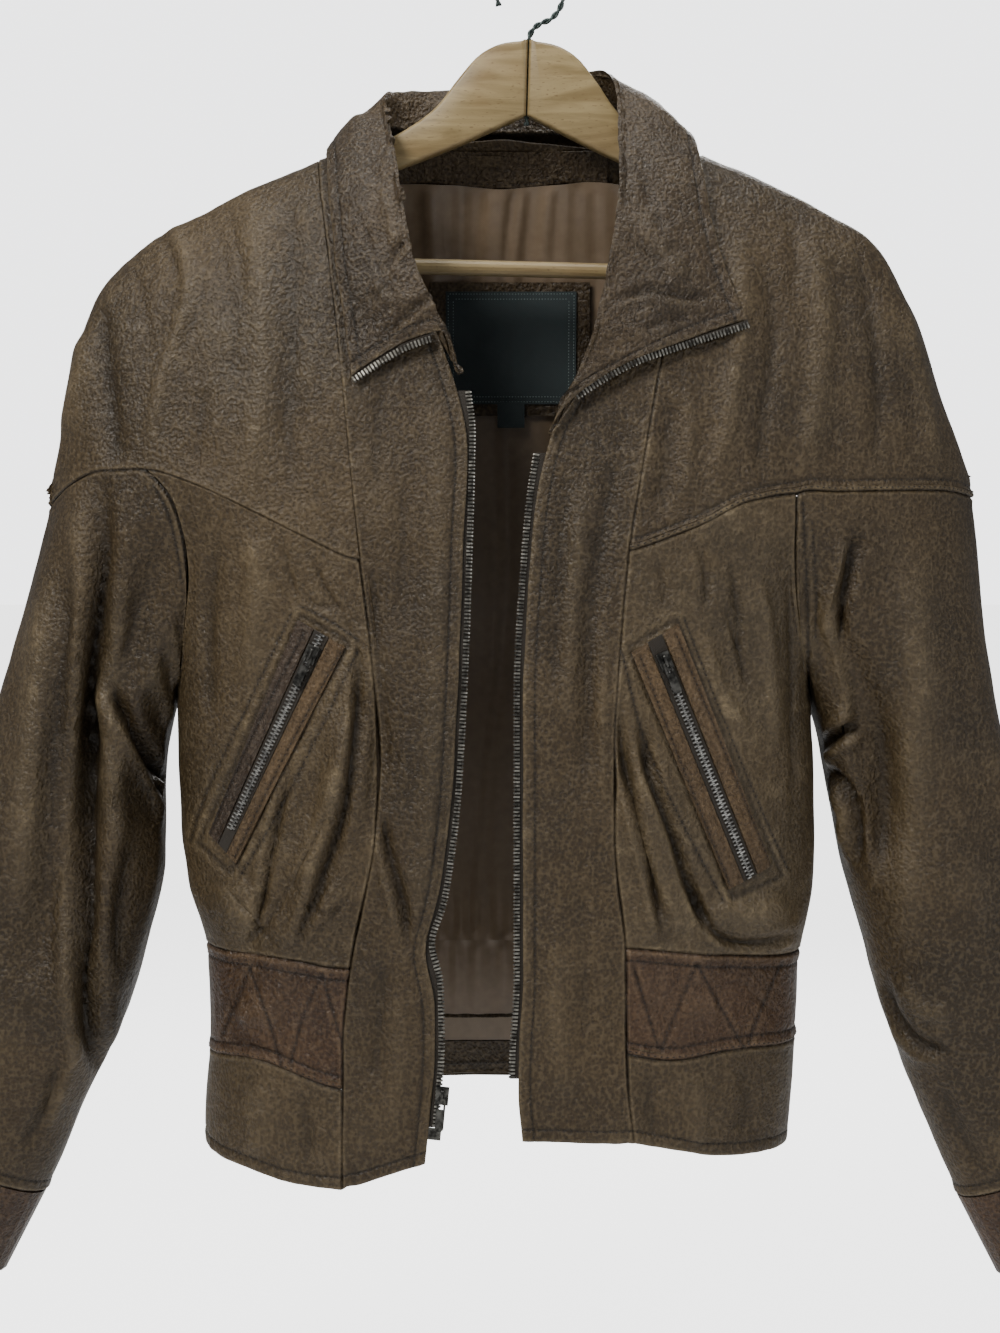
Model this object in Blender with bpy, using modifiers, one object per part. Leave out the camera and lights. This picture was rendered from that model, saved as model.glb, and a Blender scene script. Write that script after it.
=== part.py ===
# A worn leather zip jacket on a wooden hanger.
# Every length here is in millimetres: x runs to the wearer's left, y runs backwards, and drop
# runs down from the point where the hanger's hook hangs. place() turns them into metres, +Z up.
# "r" is the wearer's right side (at -x) and "l" the left (at +x).

import math

import bmesh
import bpy
import numpy as np
from mathutils import Matrix, Vector

LEATHER = 1.6            # wall of the shell leather
COLLAR_WALL = 2.4        # two layers of leather
LINING = 1.0
SEAM_GAP = 0.2           # each panel stops this far short of its seam line
SIDE_GAP = 0.4           # the same at the side seams, which turn a corner
TOP_GAP = 0.5            # the same where front and back meet behind the shoulder line
TIP_GAP = 1.6            # the same at the yokes' outer tips
LIFT = 0.5               # clearance under what lies on a panel
BODY_X = -18.0           # the jacket's own middle, which hangs beside the hook's line
ROUNDNESS = 2.5          # exponent of the body's oval
HANGER_TILT = 1.5        # degrees, left arm low
SEAT = LEATHER + 1.0     # hanger arm's top below the outside of the shoulder

YOKE_COLUMNS = 12        # along the yoke seam, from the centre panel to the armhole
SLEEVE_COLUMNS = 5       # along the yoke seam, from the armhole to the sleeve's outer line
YOKE_ROWS = [-0.32, -0.2, -0.1, 0, 0.1, 0.2, 0.32, 0.46, 0.6, 0.74, 0.87, 1]
ARMHOLE_ROWS = 8
SIDE_ROWS = 9
BAND_ROWS = 2
HEM_ROWS = 2
CENTER_COLUMNS = 3
SLEEVE_ROWS = 16
UNDERARM = 480.0         # drop of the underarm point

scene_parts = bpy.data.collections.new("leather_jacket")
cutters = bpy.data.collections.new("cutters")


def clear_scene():
    for item in list(bpy.data.objects):
        bpy.data.objects.remove(item, do_unlink=True)
    bpy.context.scene.collection.children.link(scene_parts)
    bpy.context.scene.collection.children.link(cutters)


def place(x, y, drop):
    return Vector((x, y, -drop)) * 0.001


def profile(*knots):
    """A smooth curve through (position, value) knots that never overshoots them."""
    at = np.array([k[0] for k in knots], float)
    value = np.array([k[1] for k in knots], float)
    step = np.diff(at)
    rise = np.diff(value) / step
    slope = np.zeros(len(at))
    slope[0], slope[-1] = rise[0], rise[-1]
    for i in range(1, len(at) - 1):
        if rise[i - 1] * rise[i] > 0:
            slope[i] = 2 * rise[i - 1] * rise[i] / (rise[i - 1] + rise[i])

    def curve(t):
        t = min(max(t, at[0]), at[-1])
        i = int(min(max(np.searchsorted(at, t) - 1, 0), len(step) - 1))
        h = step[i]
        s = (t - at[i]) / h
        return float(value[i] * (1 + 2 * s) * (1 - s) ** 2 + slope[i] * h * s * (1 - s) ** 2
                     + value[i + 1] * s * s * (3 - 2 * s) + slope[i + 1] * h * s * s * (s - 1))
    return curve


def mix(a, b, t):
    return a + (b - a) * t


def smooth(t):
    t = min(max(t, 0.0), 1.0)
    return t * t * (3 - 2 * t)


# The body's ovals, by drop: how far it stands before and behind its middle, and the side lines.
middle = profile((60, 2), (200, 2), (350, 4), (480, 8), (640, 13), (790, 14))
front_reach = profile((330, 80), (400, 82), (480, 86), (640, 88), (790, 92))
back_reach = profile((330, 72), (400, 76), (480, 80), (640, 78), (790, 88))
side_line = {
    "r": profile((320, -250), (360, -243), (400, -238), (440, -234), (UNDERARM, -231), (563, -229),
                 (607, -223), (641, -211), (713, -210), (753, -214), (800, -212)),
    "l": profile((320, 204), (360, 200), (400, 194), (440, 187), (UNDERARM, 183), (563, 186),
                 (600, 185), (625, 181), (646, 176), (702, 174), (770, 168), (800, 167)),
}

# The shoulder line from side to side. Between the neck points it only guides the surface.
ridge_drop = profile((-315, 349), (-305, 298), (-297, 262), (-288, 228), (-268, 200), (-243, 179),
                     (-215, 165), (-197, 155.5), (-176, 146), (-139, 130), (-98, 113), (-18, 104),
                     (61, 109), (88, 117), (111, 126), (139, 137.5), (176, 155), (197, 166), (216, 177),
                     (235, 198), (252, 238), (268, 284), (281, 318), (289, 341))
# The yoke seam in front, carried on across the centre, with how far it stands forward.
yoke_drop = profile((-316, 357), (-298, 343), (-272, 334), (-244, 334), (-218, 341), (-175, 360),
                    (-138, 378), (-107, 391), (-18, 402), (60, 385), (104, 369), (135, 354),
                    (166, 349), (215, 347), (266, 346), (290, 350))
yoke_depth = profile((-316, 0), (-306, 16), (-292, 31), (-272, 43), (-244, 54), (-218, 62),
                     (-175, 72), (-107, 79), (-18, 81), (60, 80), (104, 76), (135, 70), (166, 60),
                     (200, 50), (238, 38), (266, 25), (282, 12), (290, 0))
# The same seam behind.
back_yoke_drop = profile((-316, 357), (-298, 343), (-244, 334), (-175, 349), (-107, 366),
                         (-18, 372), (60, 366), (104, 358), (166, 349), (266, 346), (290, 350))
back_yoke_depth = profile((-316, 0), (-306, 14), (-292, 27), (-272, 38), (-244, 47), (-175, 62),
                          (-107, 68), (-18, 70), (60, 68), (104, 65), (166, 52), (215, 38),
                          (266, 22), (282, 11), (290, 0))

# The long seam between centre and side panels, and the opening's edge: drop to x.
center_seam = {
    "r": profile((130, -139), (223, -124), (304, -115), (347, -112), (391, -107), (446, -100),
                 (515, -95), (570, -98), (600, -104), (643, -113), (696, -118), (790, -118)),
    "l": profile((126, 111), (195, 88), (255, 80), (291, 73), (341, 66), (385, 60), (440, 55),
                 (502, 51), (563, 51), (600, 54), (631, 58), (708, 59), (760, 64)),
}
opening = {
    "r": profile((113, -98), (141, -94), (208, -80), (250, -60), (279, -45), (309, -41),
                 (396, -43), (528, -49), (601, -58), (627, -66), (652, -61), (690, -60),
                 (734, -63), (770, -67)),
    "l": profile((117, 88), (135, 77), (170, 64), (223, 52), (257, 43), (299, 22), (318, 8), (345, 3),
                 (385, -1), (475, -6), (601, -6), (650, -6), (710, -9), (745, -7), (760, -4)),
}
NECK_POINT = {"r": (-98, 113), "l": (88, 117)}
NECK_FOOT = {"r": -88, "l": 42}      # x on the back seam below the neck points
SEAM_TOP = {"r": (-139, 130), "l": (111, 126)}
ZIP_TOP = {"r": 279, "l": 318}
OPENING_AT_YOKE = {"r": 375, "l": 372}

# Outlines of the yokes, from the centre seam out: where the shoulder line and the seam pair up.
YOKE_PAIRS = {
    "r": [(-139, -107), (-176, -138), (-215, -175), (-243, -218), (-268, -244),
          (-290, -272), (-304, -298), (-314.5, -316)],
    "l": [(111, 60), (146, 86), (183, 112), (209, 142), (228, 167),
          (254, 215), (272, 258), (288, 290)],
}
ARMHOLE_STATION = 4

armhole = {
    "r": profile((334, -244), (353, -227), (378, -220), (400, -218), (430, -221), (460, -227),
                 (UNDERARM, -231)),
    "l": profile((349, 167), (380, 166), (416, 168), (440, 172), (460, 177), (UNDERARM, 183)),
}

# Seams round the body, by distance from the body's middle as x: the waist seam, the foot of the
# waistband and the hem, in front and behind.
waist_seam = {
    "r": profile((-232, 640), (-175, 640), (-113, 646), (-60, 650)),
    "l": profile((-6, 628), (58, 632), (104, 637), (185, 646)),
}
band_foot = {
    "r": profile((-232, 713), (-178, 705), (-118, 720), (-60, 724)),
    "l": profile((-9, 694), (57, 697), (86, 702), (130, 698), (185, 702)),
}
hem_line = {
    "r": profile((-232, 766), (-180, 775), (-145, 781), (-117, 782), (-82, 772), (-64, 763)),
    "l": profile((-6, 750), (60, 752), (85, 757), (116, 764), (185, 769)),
}
BACK_WAIST, BACK_BAND_FOOT, BACK_HEM = 643, 708, 752

# Corners of the pocket frames on the side fronts.
POCKETS = {
    "r": {"out_top": (-144, 425), "in_top": (-114, 442), "out_foot": (-205, 567),
          "in_foot": (-187, 585)},
    "l": {"in_top": (59.5, 445), "out_top": (89, 427), "in_foot": (124, 600),
          "out_foot": (152, 587)},
}

# Long soft folds of the gathered side fronts: from (x, drop) to (x, drop), width, height.
FOLDS = {
    "r": [((-113, 455), (-128, 640), 9, 5), ((-106, 480), (-150, 640), 10, 4.5),
          ((-118, 600), (-170, 636), 8, 4), ((-190, 590), (-195, 637), 10, 3.5),
          ((-112, 420), (-103, 560), 8, 4)],
    "l": [((53, 450), (88, 632), 8, 5), ((72, 520), (112, 636), 9, 5),
          ((62, 400), (60, 560), 8, 3.5), ((118, 612), (170, 625), 9, 5),
          ((74, 600), (72, 630), 7, 3.5)],
}


def pocket_distance(x, drop):
    """How far a point of the front lies from the nearer pocket's zip line."""
    nearest = 1e6
    for corners in POCKETS.values():
        top = np.add(corners["out_top"], corners["in_top"]) / 2
        run = np.add(corners["out_foot"], corners["in_foot"]) / 2 - top
        t = min(max(np.dot((x - top[0], drop - top[1]), run) / np.dot(run, run), 0.0), 1.0)
        nearest = min(nearest, math.hypot(*(top + run * t - (x, drop))))
    return nearest


def fold_height(x, drop):
    """Sum of the gathers at a point of the front, outward positive."""
    total = 0.0
    for side in FOLDS:
        for (x0, d0), (x1, d1), width, height in FOLDS[side]:
            run = np.array([x1 - x0, d1 - d0], float)
            length = math.hypot(*run)
            along = ((x - x0) * run[0] + (drop - d0) * run[1]) / length ** 2
            off = ((x - x0) * run[1] - (drop - d0) * run[0]) / length
            ends = smooth(along / 0.3 + 0.2) * smooth((1.15 - along) / 0.15)
            wave = math.exp(-(off / width) ** 2) - 0.6 * math.exp(-((off - 1.6 * width) / width) ** 2)
            total += height * ends * wave
    return total * smooth((pocket_distance(x, drop) - 20) / 14)


def oval(t):
    return max(0.0, 1 - min(abs(t), 1.0) ** ROUNDNESS) ** (1 / ROUNDNESS)


def dome(w):
    """Rise of the shoulder from its ridge (0) to the yoke seam (1)."""
    s = math.sqrt(min(max(w, 0.0), 1.0))
    return (s + math.sin(s * math.pi / 2)) / 2


def half_width(x, drop):
    return abs(side_line["r" if x < BODY_X else "l"](drop) - BODY_X)


def surface_y(x, drop, behind=False):
    """Depth of the jacket's outside at (x, drop), in front of or behind its middle."""
    seam = (back_yoke_drop if behind else yoke_drop)(x)
    depth = (back_yoke_depth if behind else yoke_depth)(x)
    sign = 1 if behind else -1
    if drop <= seam:
        top = ridge_drop(x)
        w = (drop - top) / max(seam - top, 1.0)
        return middle(drop) + sign * depth * dome(w)
    reach = back_reach if behind else front_reach
    here = reach(drop) * oval((x - BODY_X) / half_width(x, drop))
    at_seam = reach(seam) * oval((x - BODY_X) / half_width(x, seam))
    fade = 1 - smooth((drop - seam) / 95.0)
    lift = 0.0 if behind else fold_height(x, drop)
    return middle(drop) + sign * (here + (depth - at_seam) * fade + lift)


def on_surface(x, drop, behind=False):
    return np.array([x, surface_y(x, drop, behind), drop])


def outward(x, drop, behind=False):
    """Unit normal of the outside at (x, drop), as (x, y, drop)."""
    step = 2.0
    across = on_surface(x + step, drop, behind) - on_surface(x - step, drop, behind)
    down = on_surface(x, drop + step, behind) - on_surface(x, drop - step, behind)
    normal = np.cross(across, down)
    if (normal[1] < 0) == behind:
        normal = -normal
    return normal / np.linalg.norm(normal)


def lifted(x, drop, height, behind=False):
    return on_surface(x, drop, behind) + outward(x, drop, behind) * height


def angle_at(x, drop):
    """Angle round the body, from 0 at the middle to 90 at the side line, of a point."""
    t = min(abs(x - BODY_X) / half_width(x, drop), 1.0)
    return math.degrees(math.asin(t ** (ROUNDNESS / 2)))


def x_at(side, angle, drop):
    reach = abs(side_line[side](drop) - BODY_X) * math.sin(math.radians(angle)) ** (2 / ROUNDNESS)
    return BODY_X + (-reach if side == "r" else reach)


# Materials

def material(name, color, roughness, metallic=0.0):
    found = bpy.data.materials.get(name)
    if found:
        return found
    made = bpy.data.materials.new(name)
    made.use_nodes = True
    shader = made.node_tree.nodes["Principled BSDF"]
    shader.inputs["Base Color"].default_value = (*color, 1)
    shader.inputs["Roughness"].default_value = roughness
    shader.inputs["Metallic"].default_value = metallic
    return made


FINISHES = {
    "leather": ((0.105, 0.076, 0.050), 0.5, 0.0),
    "collar_leather": ((0.080, 0.050, 0.033), 0.5, 0.0),
    "band_leather": ((0.095, 0.052, 0.032), 0.45, 0.0),
    "welt_leather": ((0.19, 0.12, 0.065), 0.5, 0.0),
    "satin": ((0.11, 0.065, 0.045), 0.35, 0.0),
    "label_cloth": ((0.030, 0.045, 0.045), 0.8, 0.0),
    "tape_cloth": ((0.045, 0.032, 0.024), 0.9, 0.0),
    "wood": ((0.60, 0.40, 0.20), 0.45, 0.0),
    "zip_metal": ((0.12, 0.115, 0.105), 0.4, 0.9),
    "wire": ((0.07, 0.09, 0.085), 0.4, 0.8),
}


# Building

def add_object(name, mesh, finish):
    item = bpy.data.objects.new(name, mesh)
    scene_parts.objects.link(item)
    item.data.materials.clear()
    item.data.materials.append(material(finish, *FINISHES[finish]))
    return item


def inset_grid(points, closed, ends, sides):
    """Draws a grid's edges in, so that neighbours don't meet."""
    def pull(edge, inner, gap):
        run = inner - edge
        length = np.linalg.norm(run, axis=-1, keepdims=True)
        return edge + run / np.maximum(length, 1e-6) * gap
    points[0] = pull(points[0], points[1], ends[0])
    points[-1] = pull(points[-1], points[-2], ends[1])
    if not closed:
        points[:, 0] = pull(points[:, 0], points[:, 1], sides[0])
        points[:, -1] = pull(points[:, -1], points[:, -2], sides[1])
    return points


def sheet(name, rows, finish, wall, closed=False, outside=None, ends=(SEAM_GAP, SEAM_GAP),
          sides=(SEAM_GAP, SEAM_GAP)):
    """An open grid of (x, y, drop) rows, given its wall by Solidify on the side away from
    outside, a point that the outer face looks towards from the grid's middle."""
    points = inset_grid(np.array(rows, float), closed, ends, sides)
    count, width = points.shape[:2]
    mesh = bpy.data.meshes.new(name)
    verts = [place(*points[i, j]) for i in range(count) for j in range(width)]
    faces = []
    for i in range(count - 1):
        for j in range(width if closed else width - 1):
            k = (j + 1) % width
            faces.append((i * width + j, i * width + k, (i + 1) * width + k, (i + 1) * width + j))
    i, j = count // 2, (width - 1) // 2
    normal = np.cross(points[i, (j + 1) % width] - points[i, j], points[i - 1, j] - points[i, j])
    # drop runs against Z, so the handedness of the cross product is turned round
    facing = -np.dot(normal, np.array(outside(points[i, j]), float))
    if facing > 0:
        faces = [tuple(reversed(f)) for f in faces]
    mesh.from_pydata(verts, [], faces)
    mesh.shade_smooth()
    item = add_object(name, mesh, finish)
    wall_maker = item.modifiers.new("wall", "SOLIDIFY")
    wall_maker.thickness = wall * 0.001
    wall_maker.offset = -1
    return item


def towards_front(point):
    return (0, -1, 0)


def towards_back(point):
    return (0, 1, 0)


# Levels of the long seam, shared by every panel that meets it

def yoke_column(side, station):
    """The shoulder-line x and seam x at a station along the yoke."""
    pairs = YOKE_PAIRS[side]
    top = profile(*[(k, p[0]) for k, p in enumerate(pairs)])(station)
    foot = profile(*[(k, p[1]) for k, p in enumerate(pairs)])(station)
    return top, foot


def yoke_point(side, station, s):
    """A point of the yoke: s from 0 on the shoulder line to 1 on the seam, less than 0 behind."""
    top, foot = yoke_column(side, station)
    behind = s < 0
    foot_drop = (back_yoke_drop if behind else yoke_drop)(foot)
    w = s * s
    x = mix(top, foot, w)
    drop = mix(ridge_drop(top), foot_drop, w)
    return on_surface(x, drop, behind)


def stations():
    inner = [ARMHOLE_STATION * i / YOKE_COLUMNS for i in range(YOKE_COLUMNS + 1)]
    last = len(YOKE_PAIRS["r"]) - 1
    outer = [mix(ARMHOLE_STATION, last, (i + 1) / SLEEVE_COLUMNS) for i in range(SLEEVE_COLUMNS)]
    return inner + outer


def side_front_point(side, u, v):
    """The side front: u from the centre seam (0) to the armhole or side seam (1); v from the
    yoke seam (0) through the underarm (1) to the waist seam (2)."""
    foot = yoke_column(side, ARMHOLE_STATION * u)[1]
    top = yoke_drop(foot)
    low_x = x_at(side, mix(angle_at(center_seam[side](640), 640), 90, u), 640)
    bottom = waist_seam[side](low_x)
    drop = mix(top, UNDERARM, v) if v <= 1 else mix(UNDERARM, bottom, v - 1)
    inner = center_seam[side](drop)
    if v <= 1:
        # columns start evenly in x along the seam and end evenly in angle at the underarm
        edge = armhole[side](max(drop, yoke_drop(armhole[side](0))))
        share = (foot - center_seam[side](top)) / (yoke_column(side, ARMHOLE_STATION)[1]
                                                   - center_seam[side](top))
        even = mix(inner, edge, mix(share, u, v)) if v > 0 else foot
        turn = mix(angle_at(inner, drop), angle_at(edge, drop), u)
        x = mix(even, x_at(side, turn, drop), smooth(v))
        if u == 1:
            x = edge if v > 0 else foot
        if u == 0:
            x = inner
    else:
        x = x_at(side, mix(angle_at(inner, drop), 90, u), drop)
        if u == 0:
            x = inner
    return on_surface(x, drop)


def side_levels():
    return ([i / ARMHOLE_ROWS for i in range(ARMHOLE_ROWS + 1)]
            + [1 + (i + 1) / SIDE_ROWS for i in range(SIDE_ROWS)])


def center_levels(side):
    """Drops of the long seam's shared levels, with the matching drops at the opening."""
    seam_top = SEAM_TOP[side][1]
    yoke_end = side_front_point(side, 0, 0)[2]
    waist = side_front_point(side, 0, 2)[2]
    foot = band_foot[side](center_seam[side](waist + 70))
    hem_seam = hem_line[side](center_seam[side](780))
    hem_open = hem_line[side](opening[side](760))
    open_yoke = OPENING_AT_YOKE[side]
    levels = []
    for s in YOKE_ROWS:
        if s >= 0:
            levels.append((mix(seam_top, yoke_end, s * s),
                           mix(NECK_POINT[side][1], open_yoke, s * s)))
    def lower(seam_drop):
        return mix(open_yoke, hem_open, (seam_drop - yoke_end) / (hem_seam - yoke_end))
    for v in side_levels()[1:]:
        drop = side_front_point(side, 0, v)[2]
        levels.append((drop, lower(drop)))
    for i in range(BAND_ROWS):
        drop = mix(waist, foot, (i + 1) / BAND_ROWS)
        levels.append((drop, lower(drop)))
    for i in range(HEM_ROWS):
        drop = mix(foot, hem_seam, (i + 1) / HEM_ROWS)
        levels.append((drop, lower(drop)))
    return levels


def center_wrap(side, u, s):
    """The centre panel's strip behind the shoulder line, tapering towards the neck."""
    share = mix(1.0, 0.45, u)
    w = (s * share) ** 2
    top_x, foot_x = mix(SEAM_TOP[side][0], NECK_POINT[side][0], u), mix(YOKE_PAIRS[side][0][1], NECK_FOOT[side], u)
    x = mix(top_x, foot_x, w)
    drop = mix(ridge_drop(top_x), back_yoke_drop(foot_x), w)
    return on_surface(x, drop, True)


def center_rows(side):
    rows = []
    for s in YOKE_ROWS:
        if s < 0:
            rows.append([center_wrap(side, i / CENTER_COLUMNS, s)
                         for i in range(CENTER_COLUMNS + 1)])
    for seam_drop, open_drop in center_levels(side):
        row = []
        for i in range(CENTER_COLUMNS + 1):
            u = i / CENTER_COLUMNS
            x = mix(center_seam[side](seam_drop), opening[side](open_drop), u)
            if seam_drop <= SEAM_TOP[side][1] + 0.01:
                x = mix(SEAM_TOP[side][0], NECK_POINT[side][0], u)
                row.append(on_surface(x, ridge_drop(x)))
            else:
                row.append(on_surface(x, mix(seam_drop, open_drop, u)))
        rows.append(row)
    return rows


def front_panels(side):
    sheet("front_center_" + side, center_rows(side), "leather", LEATHER, outside=towards_front,
          ends=(TOP_GAP, SEAM_GAP))
    rows = [[side_front_point(side, i / YOKE_COLUMNS, v) for i in range(YOKE_COLUMNS + 1)]
            for v in side_levels()]
    sheet("front_side_" + side, rows, "leather", LEATHER, outside=towards_front,
          ends=(TOP_GAP + 0.1, SEAM_GAP), sides=(SIDE_GAP, SIDE_GAP))
    rows = [[yoke_point(side, station, s) for station in stations()] for s in YOKE_ROWS]
    sheet("yoke_" + side, rows, "leather", LEATHER, outside=towards_front,
          ends=(TOP_GAP, SEAM_GAP), sides=(SEAM_GAP, TIP_GAP))


# Waistband and skirt

def front_ring(side, u, level):
    """Below the waist: level 0 waist seam, 1 foot of the band, 2 hem."""
    rough = 643 + 65 * level
    turn = mix(angle_at(center_seam[side](rough), rough), 90, u)
    x = x_at(side, turn, rough)
    stops = [waist_seam[side](x), band_foot[side](x), hem_line[side](x)]
    drop = mix(stops[0], stops[1], level) if level <= 1 else mix(stops[1], stops[2], level - 1)
    if level == 0:
        return side_front_point(side, u, 2)
    x = center_seam[side](drop) if u == 0 else x_at(side, turn, drop)
    return on_surface(x, drop)


def lower_fronts(side):
    rows = [[front_ring(side, i / YOKE_COLUMNS, j / BAND_ROWS) for i in range(YOKE_COLUMNS + 1)]
            for j in range(BAND_ROWS + 1)]
    sheet("waistband_" + side, rows, "band_leather", LEATHER, outside=towards_front,
          sides=(SEAM_GAP, SIDE_GAP))
    rows = [[front_ring(side, i / YOKE_COLUMNS, 1 + j / HEM_ROWS)
             for i in range(YOKE_COLUMNS + 1)] for j in range(HEM_ROWS + 1)]
    sheet("hem_" + side, rows, "leather", LEATHER, outside=towards_front,
          sides=(SEAM_GAP, SIDE_GAP))


# The back

BACK_COLUMNS = 9        # per half


def back_side_drop(side, level):
    """Drops of the side seam at the waist, the foot of the band and the hem."""
    return front_ring(side, 1, level)[2]


def back_point(side, u, level):
    """Back panels, u from the middle (0) to the armhole or side seam (1). Levels: 0 yoke seam,
    1 underarm, 2 waist, 3 foot of the band, 4 hem."""
    edge_x = YOKE_PAIRS[side][ARMHOLE_STATION][1]
    top_x = mix(BODY_X, edge_x, u)
    stops = [back_yoke_drop(top_x), UNDERARM]
    for k, centre in enumerate((BACK_WAIST, BACK_BAND_FOOT, BACK_HEM)):
        stops.append(mix(centre, back_side_drop(side, k), u * u))
    k = min(int(level), 3)
    drop = mix(stops[k], stops[k + 1], level - k)
    if level <= 1:
        edge = mix(edge_x, armhole[side](drop), min(level * ARMHOLE_ROWS, 1))
        turn = x_at(side, angle_at(edge, drop) * u, drop) if u else BODY_X
        x = edge if u == 1 else mix(mix(BODY_X, edge, u), turn, smooth(level))
    else:
        x = x_at(side, 90 * u, drop) if u else BODY_X
    return on_surface(x, drop, True)


def across_back(level_list):
    half = [i / BACK_COLUMNS for i in range(BACK_COLUMNS + 1)]
    rows = []
    for level in level_list:
        rows.append([back_point("r", u, level) for u in reversed(half)]
                    + [back_point("l", u, level) for u in half[1:]])
    return rows


def back_panels():
    gaps = (SIDE_GAP, SIDE_GAP)
    sheet("back", across_back(side_levels()), "leather", LEATHER, outside=towards_back,
          ends=(TOP_GAP, SEAM_GAP), sides=gaps)
    band = [2 + i / BAND_ROWS for i in range(BAND_ROWS + 1)]
    sheet("waistband_back", across_back(band), "band_leather", LEATHER, outside=towards_back,
          sides=gaps)
    skirt = [3 + i / HEM_ROWS for i in range(HEM_ROWS + 1)]
    sheet("hem_back", across_back(skirt), "leather", LEATHER, outside=towards_back, sides=gaps)


BACK_YOKE_ROWS = 6
NECK_COLUMNS = 4


def back_yoke_rows():
    """Columns from the right sleeve's outer line over the back to the left one."""
    first = YOKE_ROWS[0]
    columns = []
    for side in ("r", "l"):
        half = []
        for station in stations():
            half.append([yoke_point(side, station, mix(first, -1, i / BACK_YOKE_ROWS))
                         for i in range(BACK_YOKE_ROWS + 1)])
        inner = []
        for i in range(CENTER_COLUMNS):
            u = (i + 1) / CENTER_COLUMNS
            start = center_wrap(side, u, first)
            foot_x = mix(YOKE_PAIRS[side][0][1], NECK_FOOT[side], u)
            inner.append(column_down(start, foot_x))
        for i in range(NECK_COLUMNS):
            t = (i + 1) / NECK_COLUMNS
            top_x = mix(NECK_POINT[side][0], BODY_X, smooth(t))
            start_drop = mix(center_wrap(side, 1, first)[2], 112, smooth(t))
            foot_x = mix(NECK_FOOT[side], BODY_X, t)
            inner.append(column_down(on_surface(top_x, start_drop, True), foot_x))
        half = list(reversed(half)) + inner
        columns.append(half)
    joined = columns[0] + list(reversed(columns[1][:-1]))
    return [[column[i] for column in joined] for i in range(BACK_YOKE_ROWS + 1)]


def column_down(start, foot_x):
    """Points of the back yoke from a start point straight down to the seam."""
    foot_drop = back_yoke_drop(foot_x)
    first = YOKE_ROWS[0] ** 2
    column = [start]
    for i in range(1, BACK_YOKE_ROWS + 1):
        t = (mix(YOKE_ROWS[0], -1, i / BACK_YOKE_ROWS) ** 2 - first) / (1 - first)
        column.append(on_surface(mix(start[0], foot_x, t), mix(start[2], foot_drop, t), True))
    return column


# Sleeves: a tube between an outer and an inner edge line, whose top follows the yoke seam and
# the armhole

SLEEVE_EDGES = {
    "r": {"outer": [(-316, 357), (-333, 425), (-350, 480), (-370, 540), (-388, 600),
                    (-402, 655), (-411, 708), (-417, 760)],
          "inner": [(-231, 480), (-239, 508), (-242, 546), (-241, 590), (-250, 634),
                    (-264, 684), (-290, 740), (-318, 804)]},
    "l": {"outer": [(290, 350), (297, 411), (306, 483), (318, 540), (330, 600),
                    (345, 655), (361, 708), (379, 763)],
          "inner": [(183, 480), (192, 512), (198, 550), (206, 590), (217, 630),
                    (232, 686), (252, 740), (280, 807)]},
}
sleeve_middle = profile((0, 12), (0.2, 16), (0.6, 12), (1, 8))
sleeve_depth = profile((0, 48), (0.15, 52), (0.5, 50), (0.8, 41), (1, 34))
# Long soft troughs: angle round the sleeve, half width in degrees, depth, from w to w
SLEEVE_TROUGHS = {
    "r": [(100, 16, 16, 0.0, 0.75), (150, 14, 9, 0.1, 0.6), (300, 20, 8, 0.2, 0.9)],
    "l": [(118, 16, 14, 0.0, 0.55), (60, 18, 5, 0.3, 0.9), (300, 20, 8, 0.2, 0.9)],
}
CUFF_LENGTH = 58


def sleeve_edge(side, edge, w):
    knots = SLEEVE_EDGES[side][edge]
    share = [k / (len(knots) - 1) for k in range(len(knots))]
    x = profile(*[(a, k[0]) for a, k in zip(share, knots)])(w)
    drop = profile(*[(a, k[1]) for a, k in zip(share, knots)])(w)
    return np.array([x, drop])


def trough(side, turn, w):
    total = 0.0
    for centre, spread, depth, start, end in SLEEVE_TROUGHS[side]:
        ends = smooth((w - start + 0.1) / 0.15) * smooth((end - w) / 0.2)
        total += depth * math.exp(-((turn - centre) / spread) ** 2) * ends
    return total


def sleeve_tube(side, turn, w):
    """turn: 0 at the outer edge, 90 in front, 180 at the inner edge, 270 behind."""
    outer, inner = sleeve_edge(side, "outer", w), sleeve_edge(side, "inner", w)
    centre, half = (outer + inner) / 2, (outer - inner) / 2
    c, s = math.cos(math.radians(turn)), math.sin(math.radians(turn))
    span = np.linalg.norm(half)
    dent = trough(side, turn, w)
    across = math.copysign(abs(c) ** 0.9, c) * (1 - 0.3 * dent / span)
    deep = math.copysign(abs(s) ** 0.9, s) * (sleeve_depth(w) - dent)
    x, drop = centre + half * across
    return np.array([x, sleeve_middle(w) - deep, drop])


def sleeve_ring(side):
    """The sleeve's top edge, once round, with the angle that each point has on the tube."""
    points, turns = [], []
    front = stations()[YOKE_COLUMNS:]
    count = len(front)
    for k, station in enumerate(reversed(front)):
        points.append(yoke_point(side, station, 1))
        turns.append(70 * k / (count - 1))
    for j in range(1, ARMHOLE_ROWS + 1):
        points.append(side_front_point(side, 1, j / ARMHOLE_ROWS))
        turns.append(mix(70, 180, j / ARMHOLE_ROWS))
    for j in range(ARMHOLE_ROWS - 1, 0, -1):
        points.append(back_point(side, 1, j / ARMHOLE_ROWS))
        turns.append(mix(290, 180, j / ARMHOLE_ROWS))
    for k, station in enumerate(front[:-1]):
        points.append(yoke_point(side, station, -1))
        turns.append(mix(290, 360, k / (count - 1)))
    return points, turns


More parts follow.
